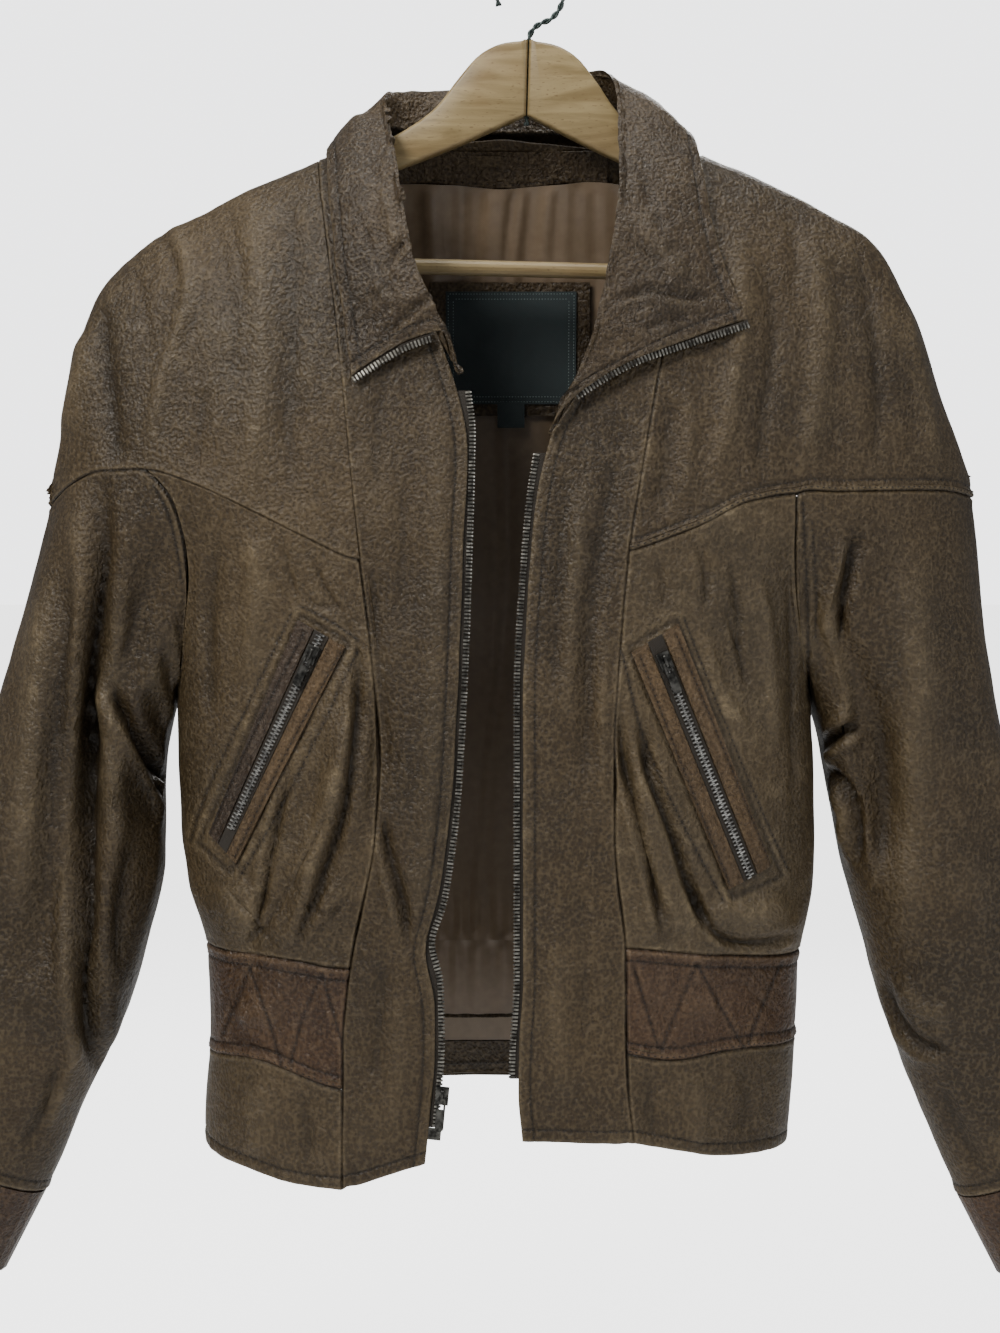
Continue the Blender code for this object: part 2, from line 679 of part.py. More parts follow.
def sleeve_rows(side):
    ring, turns = sleeve_ring(side)
    rows = []
    for j in range(SLEEVE_ROWS + 1):
        w = (j / SLEEVE_ROWS) ** 1.15
        fade = (1 - min(w / 0.32, 1)) ** 2
        rows.append([sleeve_tube(side, turn, w) + (point - sleeve_tube(side, turn, 0)) * fade
                     for point, turn in zip(ring, turns)])
    return rows


def cuff_rows(side, last):
    outer, inner = sleeve_edge(side, "outer", 1), sleeve_edge(side, "inner", 1)
    run = (outer - inner) / np.linalg.norm(outer - inner)
    down = np.array([-run[1], run[0]]) if side == "l" else np.array([run[1], -run[0]])
    rows = [last]
    for t in (0.5, 1.0):
        shift = np.array([down[0], 0, down[1]]) * CUFF_LENGTH * t
        middle_point = np.mean(last, axis=0)
        rows.append([middle_point + (p - middle_point) * mix(1, 0.94, t) + shift for p in last])
    return rows


def sleeves(side):
    rows = sleeve_rows(side)
    centre = np.mean(rows[len(rows) // 2], axis=0)

    def away(point):
        return point - centre
    sheet("sleeve_" + side, rows, "leather", LEATHER, closed=True, outside=away)
    rows = cuff_rows(side, rows[-1])
    centre_cuff = np.mean(rows[1], axis=0)
    sheet("cuff_" + side, rows, "band_leather", LEATHER, closed=True,
          outside=lambda point: point - centre_cuff, ends=(TOP_GAP, SEAM_GAP))


# Collar: from the neck seam up to the roll, over it, and down to the free edge

COLLAR_COLUMNS = 28
COLLAR_STEPS = [0, 0.35, 0.7, 1.0, 1.3, 1.65, 2.0, 2.5, 3.0]
# Stations round the neck: position 0..1, then x, y over or under the front surface, and drop.
# "on" heights stand square to the front surface, "front" ones are measured along y from it and
# "free" ones are plain y.
NECK_SEAM = [(0, -44, "on", 3.4, 277), (0.09, -60, "on", 3.4, 247),
             (0.18, -80, "on", 3.4, 203), (0.26, -92, "on", 3.4, 140),
             (0.31, -95, "free", 2, 107), (0.37, -79, "free", 20, 107),
             (0.45, -45, "free", 28, 107), (0.52, -8, "free", 29, 107),
             (0.6, 40, "free", 27, 107), (0.665, 74, "free", 15, 109),
             (0.705, 84, "free", -1, 112), (0.78, 72, "on", 3.4, 144),
             (0.87, 51, "on", 3.4, 215), (0.94, 34, "on", 3.4, 276), (1, 9, "on", 3.4, 314)]
ROLL = [(0, -57, "front", 10, 249), (0.07, -62, "front", 14, 232), (0.14, -73, "front", 15, 206),
        (0.22, -85, "front", 15, 141), (0.27, -91, "free", -15, 111), (0.32, -95, "free", 8, 84),
        (0.38, -76, "free", 33, 77), (0.45, -45, "free", 42, 74), (0.52, -12, "free", 44, 70),
        (0.59, 22, "free", 38, 65), (0.65, 48, "free", 14, 67), (0.71, 55, "free", -15, 92),
        (0.79, 54, "front", 16, 158), (0.88, 43, "front", 14, 223), (0.94, 35, "front", 13, 257),
        (1, 20, "front", 10, 295)]
FALL = [(0, -82, "front", 8.5, 257), (0.08, -92, "front", 10, 240), (0.16, -104, "front", 13, 190),
        (0.24, -114, "free", -21, 118), (0.3, -115, "free", 12, 98), (0.38, -82, "free", 47, 96),
        (0.52, -14, "free", 57, 94), (0.62, 52, "free", 42, 88), (0.68, 82, "free", 4, 90),
        (0.74, 86, "free", -24, 114), (0.82, 86, "front", 13, 172), (0.9, 84, "front", 11, 228),
        (1, 66, "front", 8.5, 266)]
FREE_EDGE = [(0, -112, "front", 5.5, 276), (0.08, -118, "front", 4.6, 243),
             (0.16, -125, "front", 5, 198), (0.23, -131, "front", 7, 140),
             (0.27, -134, "free", 4, 121), (0.31, -123, "free", 34, 123),
             (0.38, -84, "free", 56, 128), (0.52, -16, "free", 61, 131),
             (0.61, 55, "free", 52, 126), (0.66, 90, "free", 32, 119),
             (0.7, 105, "free", 3, 114), (0.75, 108, "free", -19, 124),
             (0.82, 112, "front", 7, 160), (0.9, 119, "front", 5, 196),
             (1, 135, "front", 5.5, 240)]


def collar_line(stations_list):
    knots = []
    for at, x, kind, height, drop in stations_list:
        y = surface_y(x, drop) - height if kind == "front" else height
        knots.append((at, lifted(x, drop, height) if kind == "on" else (x, y, drop)))
    return [profile(*[(at, value[k]) for at, value in knots]) for k in range(3)]


def collar_rows():
    lines = [collar_line(s) for s in (NECK_SEAM, ROLL, FALL, FREE_EDGE)]
    rows = []
    for step in COLLAR_STEPS:
        row = []
        for i in range(COLLAR_COLUMNS + 1):
            t = i / COLLAR_COLUMNS
            knots = [np.array([f(t) for f in line]) for line in lines]
            axis = [profile(*[(k, knots[k][n]) for k in range(4)]) for n in range(3)]
            row.append(np.array([f(step) for f in axis]))
        rows.append(row)
    return rows


def collar():
    sheet("collar", collar_rows(), "collar_leather", COLLAR_WALL,
          outside=lambda point: (0, 0, -1))


# Inside the back

def inside_back(x, drop, depth):
    """A point inside the back, depth in from its outside."""
    return on_surface(x, drop, True) - outward(x, drop, True) * depth


def inner_sheet(name, finish, wall, depth, columns, rows, left, right, top, bottom, shape=None):
    """A sheet on the inside of the back between x limits and drops, which may be functions."""
    grid = []
    for j in range(rows + 1):
        row = []
        for i in range(columns + 1):
            x = mix(left, right, i / columns)
            high = top(x) if callable(top) else top
            low = bottom(x) if callable(bottom) else bottom
            drop = mix(high, low, j / rows)
            extra = shape(x, drop) if shape else 0.0
            row.append(inside_back(x, drop, depth + extra))
        grid.append(row)
    sheet(name, grid, finish, wall, outside=towards_back)


def lining():
    first = LEATHER + LIFT + 0.6
    neck = LEATHER + LIFT + 1.0

    def pleats(x, drop):
        under_neck = 1.7 * (1 + math.cos((x - BODY_X) * 0.30)) * smooth((250 - drop) / 70)
        waist = 1.7 * (1 + math.cos((x - BODY_X) * 0.42)) * smooth((drop - 600) / 40)
        return 0.7 * smooth((190 - drop) / 30) + under_neck + waist

    facing_foot = profile((-110, 141), (-70, 138), (-18, 141), (40, 137), (75, 140))
    inner_sheet("neck_facing", "collar_leather", LEATHER, neck, 12, 2, -88, 52, 118, facing_foot)
    inner_sheet("lining_back", "satin", LINING, first, 20, 8, -160, 122,
                lambda x: facing_foot(x) + 0.1, 655, pleats)
    inner_sheet("lining_lower", "satin", LINING, first, 16, 2, -150, 114, 655.1, 726)
    inner_sheet("hem_facing", "leather", LEATHER, first, 16, 1, -150, 114, 726.1,
                lambda x: back_point("r" if x < BODY_X else "l",
                                     min(abs(x - BODY_X) / 190, 1), 4)[2] - 3)
    inner_sheet("hanger_loop", "leather", 1.2, neck + LEATHER + LIFT, 4, 1, -41, -19, 120, 127)
    deeper = first + LINING + LIFT + 2.7
    inner_sheet("label_patch", "collar_leather", 1.2, deeper, 6, 5, -68, 41, 202, 292)
    inner_sheet("label", "label_cloth", 0.8, deeper + 1.2 + LIFT, 6, 5, -57, 32, 208, 284)
    inner_sheet("size_tab", "label_cloth", 0.6, deeper + 2.6 + LIFT, 1, 1, -22, -3, 282, 300)


# Small hard pieces

def finish_mesh(bm, name, finish):
    bmesh.ops.recalc_face_normals(bm, faces=bm.faces)
    mesh = bpy.data.meshes.new(name)
    bm.to_mesh(mesh)
    bm.free()
    return add_object(name, mesh, finish)


def frame_matrix(origin, across, along, out):
    """Local x across, y along, z out, at origin; all given as (x, y, drop)."""
    axes = [Vector((v[0], v[1], -v[2])).normalized() for v in (across, along, out)]
    turn = Matrix(axes).transposed().to_4x4()
    return Matrix.Translation(place(*origin)) @ turn


def outline_piece(name, outlines, thickness, finish, matrix):
    """A flat outline, with holes, as a filled 2D curve extruded about its plane."""
    curve = bpy.data.curves.new(name, "CURVE")
    curve.dimensions = "2D"
    curve.fill_mode = "BOTH"
    curve.extrude = thickness / 2 * 0.001
    for outline in outlines:
        spline = curve.splines.new("POLY")
        spline.points.add(len(outline) - 1)
        for point, (x, y) in zip(spline.points, outline):
            point.co = (x * 0.001, y * 0.001, 0, 1)
        spline.use_cyclic_u = True
    return as_mesh(name, curve, finish, matrix)


def as_mesh(name, curve, finish, matrix):
    """Makes a curve a welded mesh object at a place."""
    rough = bpy.data.objects.new(name + "_curve", curve)
    scene_parts.objects.link(rough)
    bpy.context.view_layer.update()
    graph = bpy.context.evaluated_depsgraph_get()
    mesh = bpy.data.meshes.new_from_object(rough.evaluated_get(graph))
    bpy.data.objects.remove(rough, do_unlink=True)
    bm = bmesh.new()
    bm.from_mesh(mesh)
    bmesh.ops.remove_doubles(bm, verts=bm.verts, dist=1e-6)
    bmesh.ops.recalc_face_normals(bm, faces=bm.faces)
    bm.to_mesh(mesh)
    bm.free()
    item = add_object(name, mesh, finish)
    item.matrix_world = matrix
    return item


def box(name, size, centre, finish, matrix):
    bm = bmesh.new()
    bmesh.ops.create_cube(bm, size=1.0)
    for vert in bm.verts:
        vert.co = Vector((vert.co.x * size[0] + centre[0], vert.co.y * size[1] + centre[1],
                          vert.co.z * size[2] + centre[2])) * 0.001
    item = finish_mesh(bm, name, finish)
    item.matrix_world = matrix
    return item


def union(item, other):
    joint = item.modifiers.new("joined", "BOOLEAN")
    joint.operation = "UNION"
    joint.solver = "EXACT"
    joint.object = other
    scene_parts.objects.unlink(other)
    cutters.objects.link(other)
    other.hide_render = True
    other.display_type = "WIRE"


PULL = {"width": 5.4, "length": 20.0, "thickness": 1.0, "bar": 1.0, "slot": 2.8, "slot_length": 6.5}
SLIDER_LIFT = 0.6        # of the slider's body above its point
BRIDGE_HEIGHT = 1.7      # clear height under the slider's bridge
BRIDGE_LENGTH = 5.0
SLIDER = (8.0, 11.0, 2.4)


def slider_and_pull(prefix, point, along, out):
    """A zip slider whose bridge holds a hanging pull tab. point is on the tape under it,
    along runs down the zip and out away from it."""
    out = np.array(out, float) / np.linalg.norm(out)
    along = np.array(along, float)
    along = along - out * np.dot(along, out)
    along = along / np.linalg.norm(along)
    across = np.cross(out, along)
    matrix = frame_matrix(point, across, along, out)
    base = SLIDER_LIFT + SLIDER[2]
    slider = box(prefix + "_slider", SLIDER, (0, 0, SLIDER_LIFT + SLIDER[2] / 2), "zip_metal", matrix)
    post = 1.2
    high = BRIDGE_HEIGHT + 1.0
    half = BRIDGE_LENGTH / 2
    outline = [(-half - post, -0.5), (-half, -0.5), (-half, BRIDGE_HEIGHT), (half, BRIDGE_HEIGHT),
               (half, -0.5), (half + post, -0.5), (half + post, high - 0.5),
               (half + post - 0.5, high), (-half - post + 0.5, high), (-half - post, high - 0.5)]
    upright = matrix @ Matrix.Translation((0, 0, base * 0.001)) \
        @ Matrix(((0, 0, 1, 0), (1, 0, 0, 0), (0, 1, 0, 0), (0, 0, 0, 1)))
    bridge = outline_piece(prefix + "_bridge", [outline], 1.4, "zip_metal", upright)
    union(slider, bridge)
    # the pull's top bar lies under the bridge, at the lower post's side
    bar_y = half - 0.9
    bar_z = base + BRIDGE_HEIGHT / 2
    w, length, bar = PULL["width"] / 2, PULL["length"], PULL["bar"] / 2
    slot, slot_end = PULL["slot"] / 2, PULL["slot_length"]
    plate = [(-w + 0.8, -bar), (w - 0.8, -bar), (w, 1.2), (w, length - 1.5), (w - 1.2, length),
             (-w + 1.2, length), (-w, length - 1.5), (-w, 1.2)]
    hole = [(-slot, bar), (slot, bar), (slot, slot_end), (-slot, slot_end)]
    pull_matrix = matrix @ Matrix.Translation((0, bar_y * 0.001, bar_z * 0.001))
    outline_piece(prefix + "_pull", [plate, hole], PULL["thickness"], "zip_metal", pull_matrix)
    pivot = np.array(point) + along * bar_y + out * bar_z
    return pivot, across


WELT_SHARE = 0.34        # of the frame's width, each side of the zip
POCKET_LIFT = 0.6


def pocket_point(side, u, v, height):
    """u from the outer long edge (0) to the inner one (1), v from top to foot."""
    corner = {k: np.array(p, float) for k, p in POCKETS[side].items()}
    top = mix(corner["out_top"], corner["in_top"], u)
    foot = mix(corner["out_foot"], corner["in_foot"], u)
    x, drop = mix(top, foot, v)
    return lifted(x, drop, height)


def pocket(side):
    strips = (("welt_out", "welt_leather", 0.0, WELT_SHARE, 1.3, 2),
              ("welt_in", "welt_leather", 1 - WELT_SHARE, 1.0, 1.3, 2),
              ("tape", "tape_cloth", WELT_SHARE + 0.01, 0.99 - WELT_SHARE, 0.7, 1))
    for name, finish, u0, u1, wall, columns in strips:
        rows = [[pocket_point(side, mix(u0, u1, i / columns), mix(0.02, 0.98, j / 10),
                              POCKET_LIFT + wall) for i in range(columns + 1)]
                for j in range(11)]
        sheet("pocket_%s_%s" % (side, name), rows, finish, wall, outside=towards_front)
    top, lower = pocket_point(side, 0.5, 0.11, 1.1), pocket_point(side, 0.5, 0.25, 1.1)
    corner_x, corner_drop = top[0], top[2]
    return slider_and_pull("pocket_" + side, top, lower - top, outward(corner_x, corner_drop))


# Front zip

TAPE_WALL = 0.8
TAPE_WIDTH = 11
TAPE_SHOWS = 5
ZIP_FOOT = {"r": 742, "l": 712}


def opening_point(side, drop, beyond, height):
    """A point by the opening's edge: beyond runs out past the edge into the gap."""
    out = 1 if side == "r" else -1
    x = opening[side](drop) + out * beyond
    edge_x = opening[side](drop)
    edge = on_surface(edge_x, drop)
    slope = outward(edge_x, drop)
    return np.array([x, edge[1], drop]) + slope * height


def front_zip(side):
    rows = []
    count = 20
    for j in range(count + 1):
        drop = mix(ZIP_TOP[side] + 6, ZIP_FOOT[side], j / count)
        rows.append([opening_point(side, drop, mix(-TAPE_WIDTH + TAPE_SHOWS, TAPE_SHOWS, i),
                                   -LEATHER - LIFT) for i in range(2)])
    sheet("zip_tape_" + side, rows, "tape_cloth", TAPE_WALL, outside=towards_front)


def main_zip_foot():
    """Slider, pull and box at the foot of the right front."""
    drop = 722
    top = opening_point("r", drop, 6.2, -LEATHER - LIFT)
    lower = opening_point("r", drop + 10, 6.2, -LEATHER - LIFT)
    out = outward(opening["r"](drop), drop)
    foot = opening_point("r", ZIP_FOOT["r"] + 4, 3.0, -LEATHER - LIFT)
    matrix = frame_matrix(foot, np.cross(out, lower - top), lower - top, out)
    box("zip_box", (9.0, 7.0, 2.0), (0, 0, -0.4), "zip_metal", matrix)
    return slider_and_pull("zip", top, lower - top, out)


def collar_zip(side):
    """Tape along the collar's end, in the middle of its edge."""
    rows = collar_rows()
    end = [row[0 if side == "r" else -1] for row in rows]
    inner = [row[1 if side == "r" else -2] for row in rows]
    near = []
    start = 4
    depth = (COLLAR_WALL - TAPE_WALL) / 2
    for k in range(start, len(end)):
        run = (inner[k] - end[k]) / np.linalg.norm(inner[k] - end[k])
        along = end[k] - end[k - 1]
        normal = np.cross(run, along)
        normal = normal / np.linalg.norm(normal)
        if normal[1] < 0:
            normal = -normal
        middle_plane = end[k] + normal * depth
        near.append([middle_plane - run * 0.3, middle_plane - run * 5.0])
    sheet("zip_collar_" + side, near, "tape_cloth", TAPE_WALL, outside=towards_front)


# Hanger

arm_top = profile((0, 52), (20, 55.5), (30, 61), (45, 78), (59, 97), (75, 110), (95, 121.5),
                  (139, 139.3), (176, 156.4), (197, 166.7), (212, 175), (222, 187))
arm_foot = profile((0, 101), (53, 126), (87, 140), (139, 162), (180, 186), (200, 205), (216, 208),
                   (222, 200))
ARM_THICKNESS = 12
BAR_DROP, BAR_RADIUS, BAR_HALF = 201, 5.2, 206
HOOK_WIRE = 2.1
HOOK_RADIUS = 20


def hanger(empty):
    for side, sign in (("r", -1), ("l", 1)):
        steps = [0.4, 12, 24, 36, 48, 60, 75, 95, 117, 139, 158, 176, 190, 203, 214, 222]
        outline = [(sign * x, -arm_top(x)) for x in steps]
        outline += [(sign * x, -arm_foot(x)) for x in reversed(steps)]
        upright = Matrix.Rotation(math.radians(90), 4, "X")
        arm = outline_piece("hanger_arm_" + side, [outline], ARM_THICKNESS, "wood", upright)
        rounding = arm.modifiers.new("edges", "BEVEL")
        rounding.width = 0.003
        rounding.segments = 1
        rounding.limit_method = "ANGLE"
        rounding.angle_limit = math.radians(60)
        arm.parent = empty
        for name, radius, start, end in (
                ("bore_" + side, BAR_RADIUS + 0.3, (sign * 188, 0, BAR_DROP),
                 (sign * (BAR_HALF + 0.3), 0, BAR_DROP)),
                ("hook_bore_" + side, HOOK_WIRE + 0.3, (0, 0, 40), (0, 0, 115))):
            cutter = rod(name, radius, start, end, "wood", 12)
            scene_parts.objects.unlink(cutter)
            cutters.objects.link(cutter)
            cutter.hide_render = True
            cutter.display_type = "WIRE"
            cutter.parent = empty
            cut = arm.modifiers.new(name, "BOOLEAN")
            cut.operation = "DIFFERENCE"
            cut.solver = "EXACT"
            cut.object = cutter
    bar = rod("hanger_bar", BAR_RADIUS, (-BAR_HALF, 0, BAR_DROP), (BAR_HALF, 0, BAR_DROP), "wood", 16)
    bar.parent = empty


def rod(name, radius, start, end, finish, sides):
    a, b = place(*start), place(*end)
    bm = bmesh.new()
    bmesh.ops.create_cone(bm, cap_ends=True, segments=sides, radius1=radius * 0.001,
                          radius2=radius * 0.001, depth=(b - a).length)
    item = finish_mesh(bm, name, finish)
    turn = Vector((0, 0, 1)).rotation_difference(b - a).to_matrix().to_4x4()
    item.matrix_world = Matrix.Translation((a + b) / 2) @ turn
    return item


def hook(empty):
    """Wire from below the arms' joint up the stem and round the crook to its free end."""
    reach = HOOK_RADIUS + HOOK_WIRE
    route = [(0, 108), (0, 75), (0, 54), (0.8, 48), (3.2, 43.5), (7.5, 40.2)]
    for k in range(12):
        turn = math.radians(mix(-52, 205, k / 11))
        route.append((reach * math.cos(turn), HOOK_RADIUS - reach * math.sin(turn)))
    curve = bpy.data.curves.new("hanger_hook", "CURVE")
    curve.dimensions = "3D"
    curve.bevel_depth = HOOK_WIRE * 0.001
    curve.bevel_resolution = 2
    curve.use_fill_caps = True
    spline = curve.splines.new("POLY")
    spline.points.add(len(route) - 1)
    for point, (x, drop) in zip(spline.points, route):
        point.co = (x * 0.001, 0, -drop * 0.001, 1)
    item = bpy.data.objects.new("hanger_hook", curve)
    scene_parts.objects.link(item)
    curve.materials.append(material("wire", *FINISHES["wire"]))
    item.parent = empty


def main():
    clear_scene()
    empty = bpy.data.objects.new("hanger", None)
    scene_parts.objects.link(empty)
    empty.rotation_euler = (0, math.radians(HANGER_TILT), 0)
    hanger(empty)
    hook(empty)
    for side in ("r", "l"):
        front_panels(side)
        lower_fronts(side)
        sleeves(side)
        front_zip(side)
        collar_zip(side)
    back_panels()
    sheet("yoke_back", back_yoke_rows(), "leather", LEATHER, outside=towards_back,
          ends=(TOP_GAP, SEAM_GAP), sides=(TIP_GAP, TIP_GAP))
    collar()
    lining()
    for name, pivot, axis in (("pocket_r", *pocket("r")), ("pocket_l", *pocket("l")),
                              ("zip", *main_zip_foot())):
        print(name, "pivot", [round(v, 2) for v in pivot], "axis", [round(v, 4) for v in axis])
    bpy.context.view_layer.update()


main()
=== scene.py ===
import math
import bpy
import numpy as np
from mathutils import Matrix, Vector, noise
from mathutils.bvhtree import BVHTree
from mathutils.kdtree import KDTree


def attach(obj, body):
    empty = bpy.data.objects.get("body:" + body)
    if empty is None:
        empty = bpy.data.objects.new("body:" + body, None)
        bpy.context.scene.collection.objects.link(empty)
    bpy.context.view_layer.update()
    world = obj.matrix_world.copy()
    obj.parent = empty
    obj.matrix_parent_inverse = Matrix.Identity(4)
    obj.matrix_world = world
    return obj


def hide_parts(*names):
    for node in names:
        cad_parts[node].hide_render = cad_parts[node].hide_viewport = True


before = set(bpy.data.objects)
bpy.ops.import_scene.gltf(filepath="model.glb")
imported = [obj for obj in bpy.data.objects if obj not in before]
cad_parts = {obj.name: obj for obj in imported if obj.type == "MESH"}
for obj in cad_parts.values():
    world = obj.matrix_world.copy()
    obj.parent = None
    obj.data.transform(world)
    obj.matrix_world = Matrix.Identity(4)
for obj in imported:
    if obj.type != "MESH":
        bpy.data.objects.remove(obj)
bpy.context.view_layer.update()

# A worn leather zip jacket on a wooden hanger. +Z up, the front faces -Y, lengths in metres
# except in the tables that say mm.
bpy.ops.object.select_all(action="DESELECT")
mm = 0.001

# Camera, lights and floor

studio = {
    "cameraPlace": (-0.020, -1.370, -0.391),
    "lens": 56.6,
    "shiftY": -0.0799,
    "floorDrop": -1.06,
    "world": (0.93, 0.935, 0.95),
    "worldStrength": 0.30,
    "seenStrength": 3.4,
    "floorGlow": 2.6,
    "lights": [  # name, place, aims at, size, watts, colour
        ("keyLight", (-0.95, -1.25, 0.75), (0, 0, -0.35), 0.7, 36, (1.0, 0.98, 0.94)),
        ("fillLight", (1.5, -1.2, 0.1), (0, 0, -0.45), 1.2, 9, (0.97, 0.985, 1.0)),
        ("topLight", (0.1, -0.1, 1.0), (0, 0, -0.2), 0.7, 13, (1.0, 1.0, 0.98)),
        ("backLight", (0.3, 1.7, 0.5), (0, 0, -0.4), 1.2, 28, (1.0, 0.99, 0.97)),
    ],
}


def aimAt(thing, target):
    run = Vector(target) - thing.location
    thing.rotation_euler = run.to_track_quat("-Z", "Y").to_euler()


def makeStudio():
    cameraData = bpy.data.cameras.new("studioCamera")
    cameraData.lens = studio["lens"]
    cameraData.shift_y = studio["shiftY"]
    cameraThing = bpy.data.objects.new("studioCamera", cameraData)
    cameraThing.location = studio["cameraPlace"]
    cameraThing.rotation_euler = (math.radians(90), 0, 0)
    bpy.context.scene.collection.objects.link(cameraThing)
    bpy.context.scene.camera = cameraThing
    for name, place, target, size, watts, colour in studio["lights"]:
        lightData = bpy.data.lights.new(name, "AREA")
        lightData.shape = "DISK"
        lightData.size = size
        lightData.energy = watts
        lightData.color = colour
        lightThing = bpy.data.objects.new(name, lightData)
        lightThing.location = place
        bpy.context.scene.collection.objects.link(lightThing)
        aimAt(lightThing, target)
    world = bpy.data.worlds.new("paleRoom")
    bpy.context.scene.world = world
    world.use_nodes = True
    tree = world.node_tree
    background = tree.nodes["Background"]
    background.inputs["Color"].default_value = (*studio["world"], 1)
    seen = tree.nodes.new("ShaderNodeLightPath").outputs["Is Camera Ray"]
    strength = tree.nodes.new("ShaderNodeMapRange")
    strength.inputs["To Min"].default_value = studio["worldStrength"]
    strength.inputs["To Max"].default_value = studio["seenStrength"]
    tree.links.new(seen, strength.inputs["Value"])
    tree.links.new(strength.outputs["Result"], background.inputs["Strength"])
    bpy.ops.mesh.primitive_plane_add(size=60, location=(0, 0, studio["floorDrop"]))
    floor = bpy.context.object
    floor.name = "floor"
    floorFinish = bpy.data.materials.new("paleFloor")
    floorFinish.use_nodes = True
    shader = floorFinish.node_tree.nodes["Principled BSDF"]
    shader.inputs["Base Color"].default_value = (0.86, 0.865, 0.875, 1)
    shader.inputs["Roughness"].default_value = 0.75
    shader.inputs["Emission Color"].default_value = (1.0, 1.0, 1.0, 1)
    litTree = floorFinish.node_tree
    seen = litTree.nodes.new("ShaderNodeLightPath").outputs["Is Camera Ray"]
    glow = litTree.nodes.new("ShaderNodeMath")
    glow.operation = "MULTIPLY"
    glow.inputs[1].default_value = studio["floorGlow"]
    litTree.links.new(seen, glow.inputs[0])
    litTree.links.new(glow.outputs[0], shader.inputs["Emission Strength"])
    floor.data.materials.append(floorFinish)
    bpy.ops.object.select_all(action="DESELECT")


makeStudio()
print("studio ready")

# Node groups shared by the finishes


def addNode(tree, kind, inputs=None, **settings):
    node = tree.nodes.new(kind)
    for key, value in settings.items():
        setattr(node, key, value)
    for key, value in (inputs or {}).items():
        if hasattr(value, "is_linked"):
            tree.links.new(value, node.inputs[key])
        else:
            node.inputs[key].default_value = value
    return node


def mathNode(tree, operation, a, b=0.5, clamp=False):
    return addNode(tree, "ShaderNodeMath", {0: a, 1: b}, operation=operation, use_clamp=clamp).outputs[0]


def rangeNode(tree, value, low, high, toLow=0.0, toHigh=1.0):
    return addNode(tree, "ShaderNodeMapRange", {"Value": value, "From Min": low, "From Max": high,
                                                "To Min": toLow, "To Max": toHigh},
                   interpolation_type="SMOOTHSTEP").outputs["Result"]


def mixColour(tree, share, a, b, blend="MIX"):
    return addNode(tree, "ShaderNodeMix", {0: share, 6: a, 7: b}, data_type="RGBA",
                   blend_type=blend).outputs[2]


def noiseNode(tree, place, scale, detail=3.0, rough=0.55, distort=0.0):
    return addNode(tree, "ShaderNodeTexNoise", {"Vector": place, "Scale": scale, "Detail": detail,
                                                "Roughness": rough, "Distortion": distort}
                   ).outputs["Fac"]


def newGroup(name, inputs, outputs):
    group = bpy.data.node_groups.new(name, "ShaderNodeTree")
    for label, kind, value in inputs:
        socket = group.interface.new_socket(label, in_out="INPUT", socket_type="NodeSocket" + kind)
        if value is not None:
            socket.default_value = value
    for label, kind in outputs:
        group.interface.new_socket(label, in_out="OUTPUT", socket_type="NodeSocket" + kind)
    return group, group.nodes.new("NodeGroupInput").outputs, group.nodes.new("NodeGroupOutput").inputs


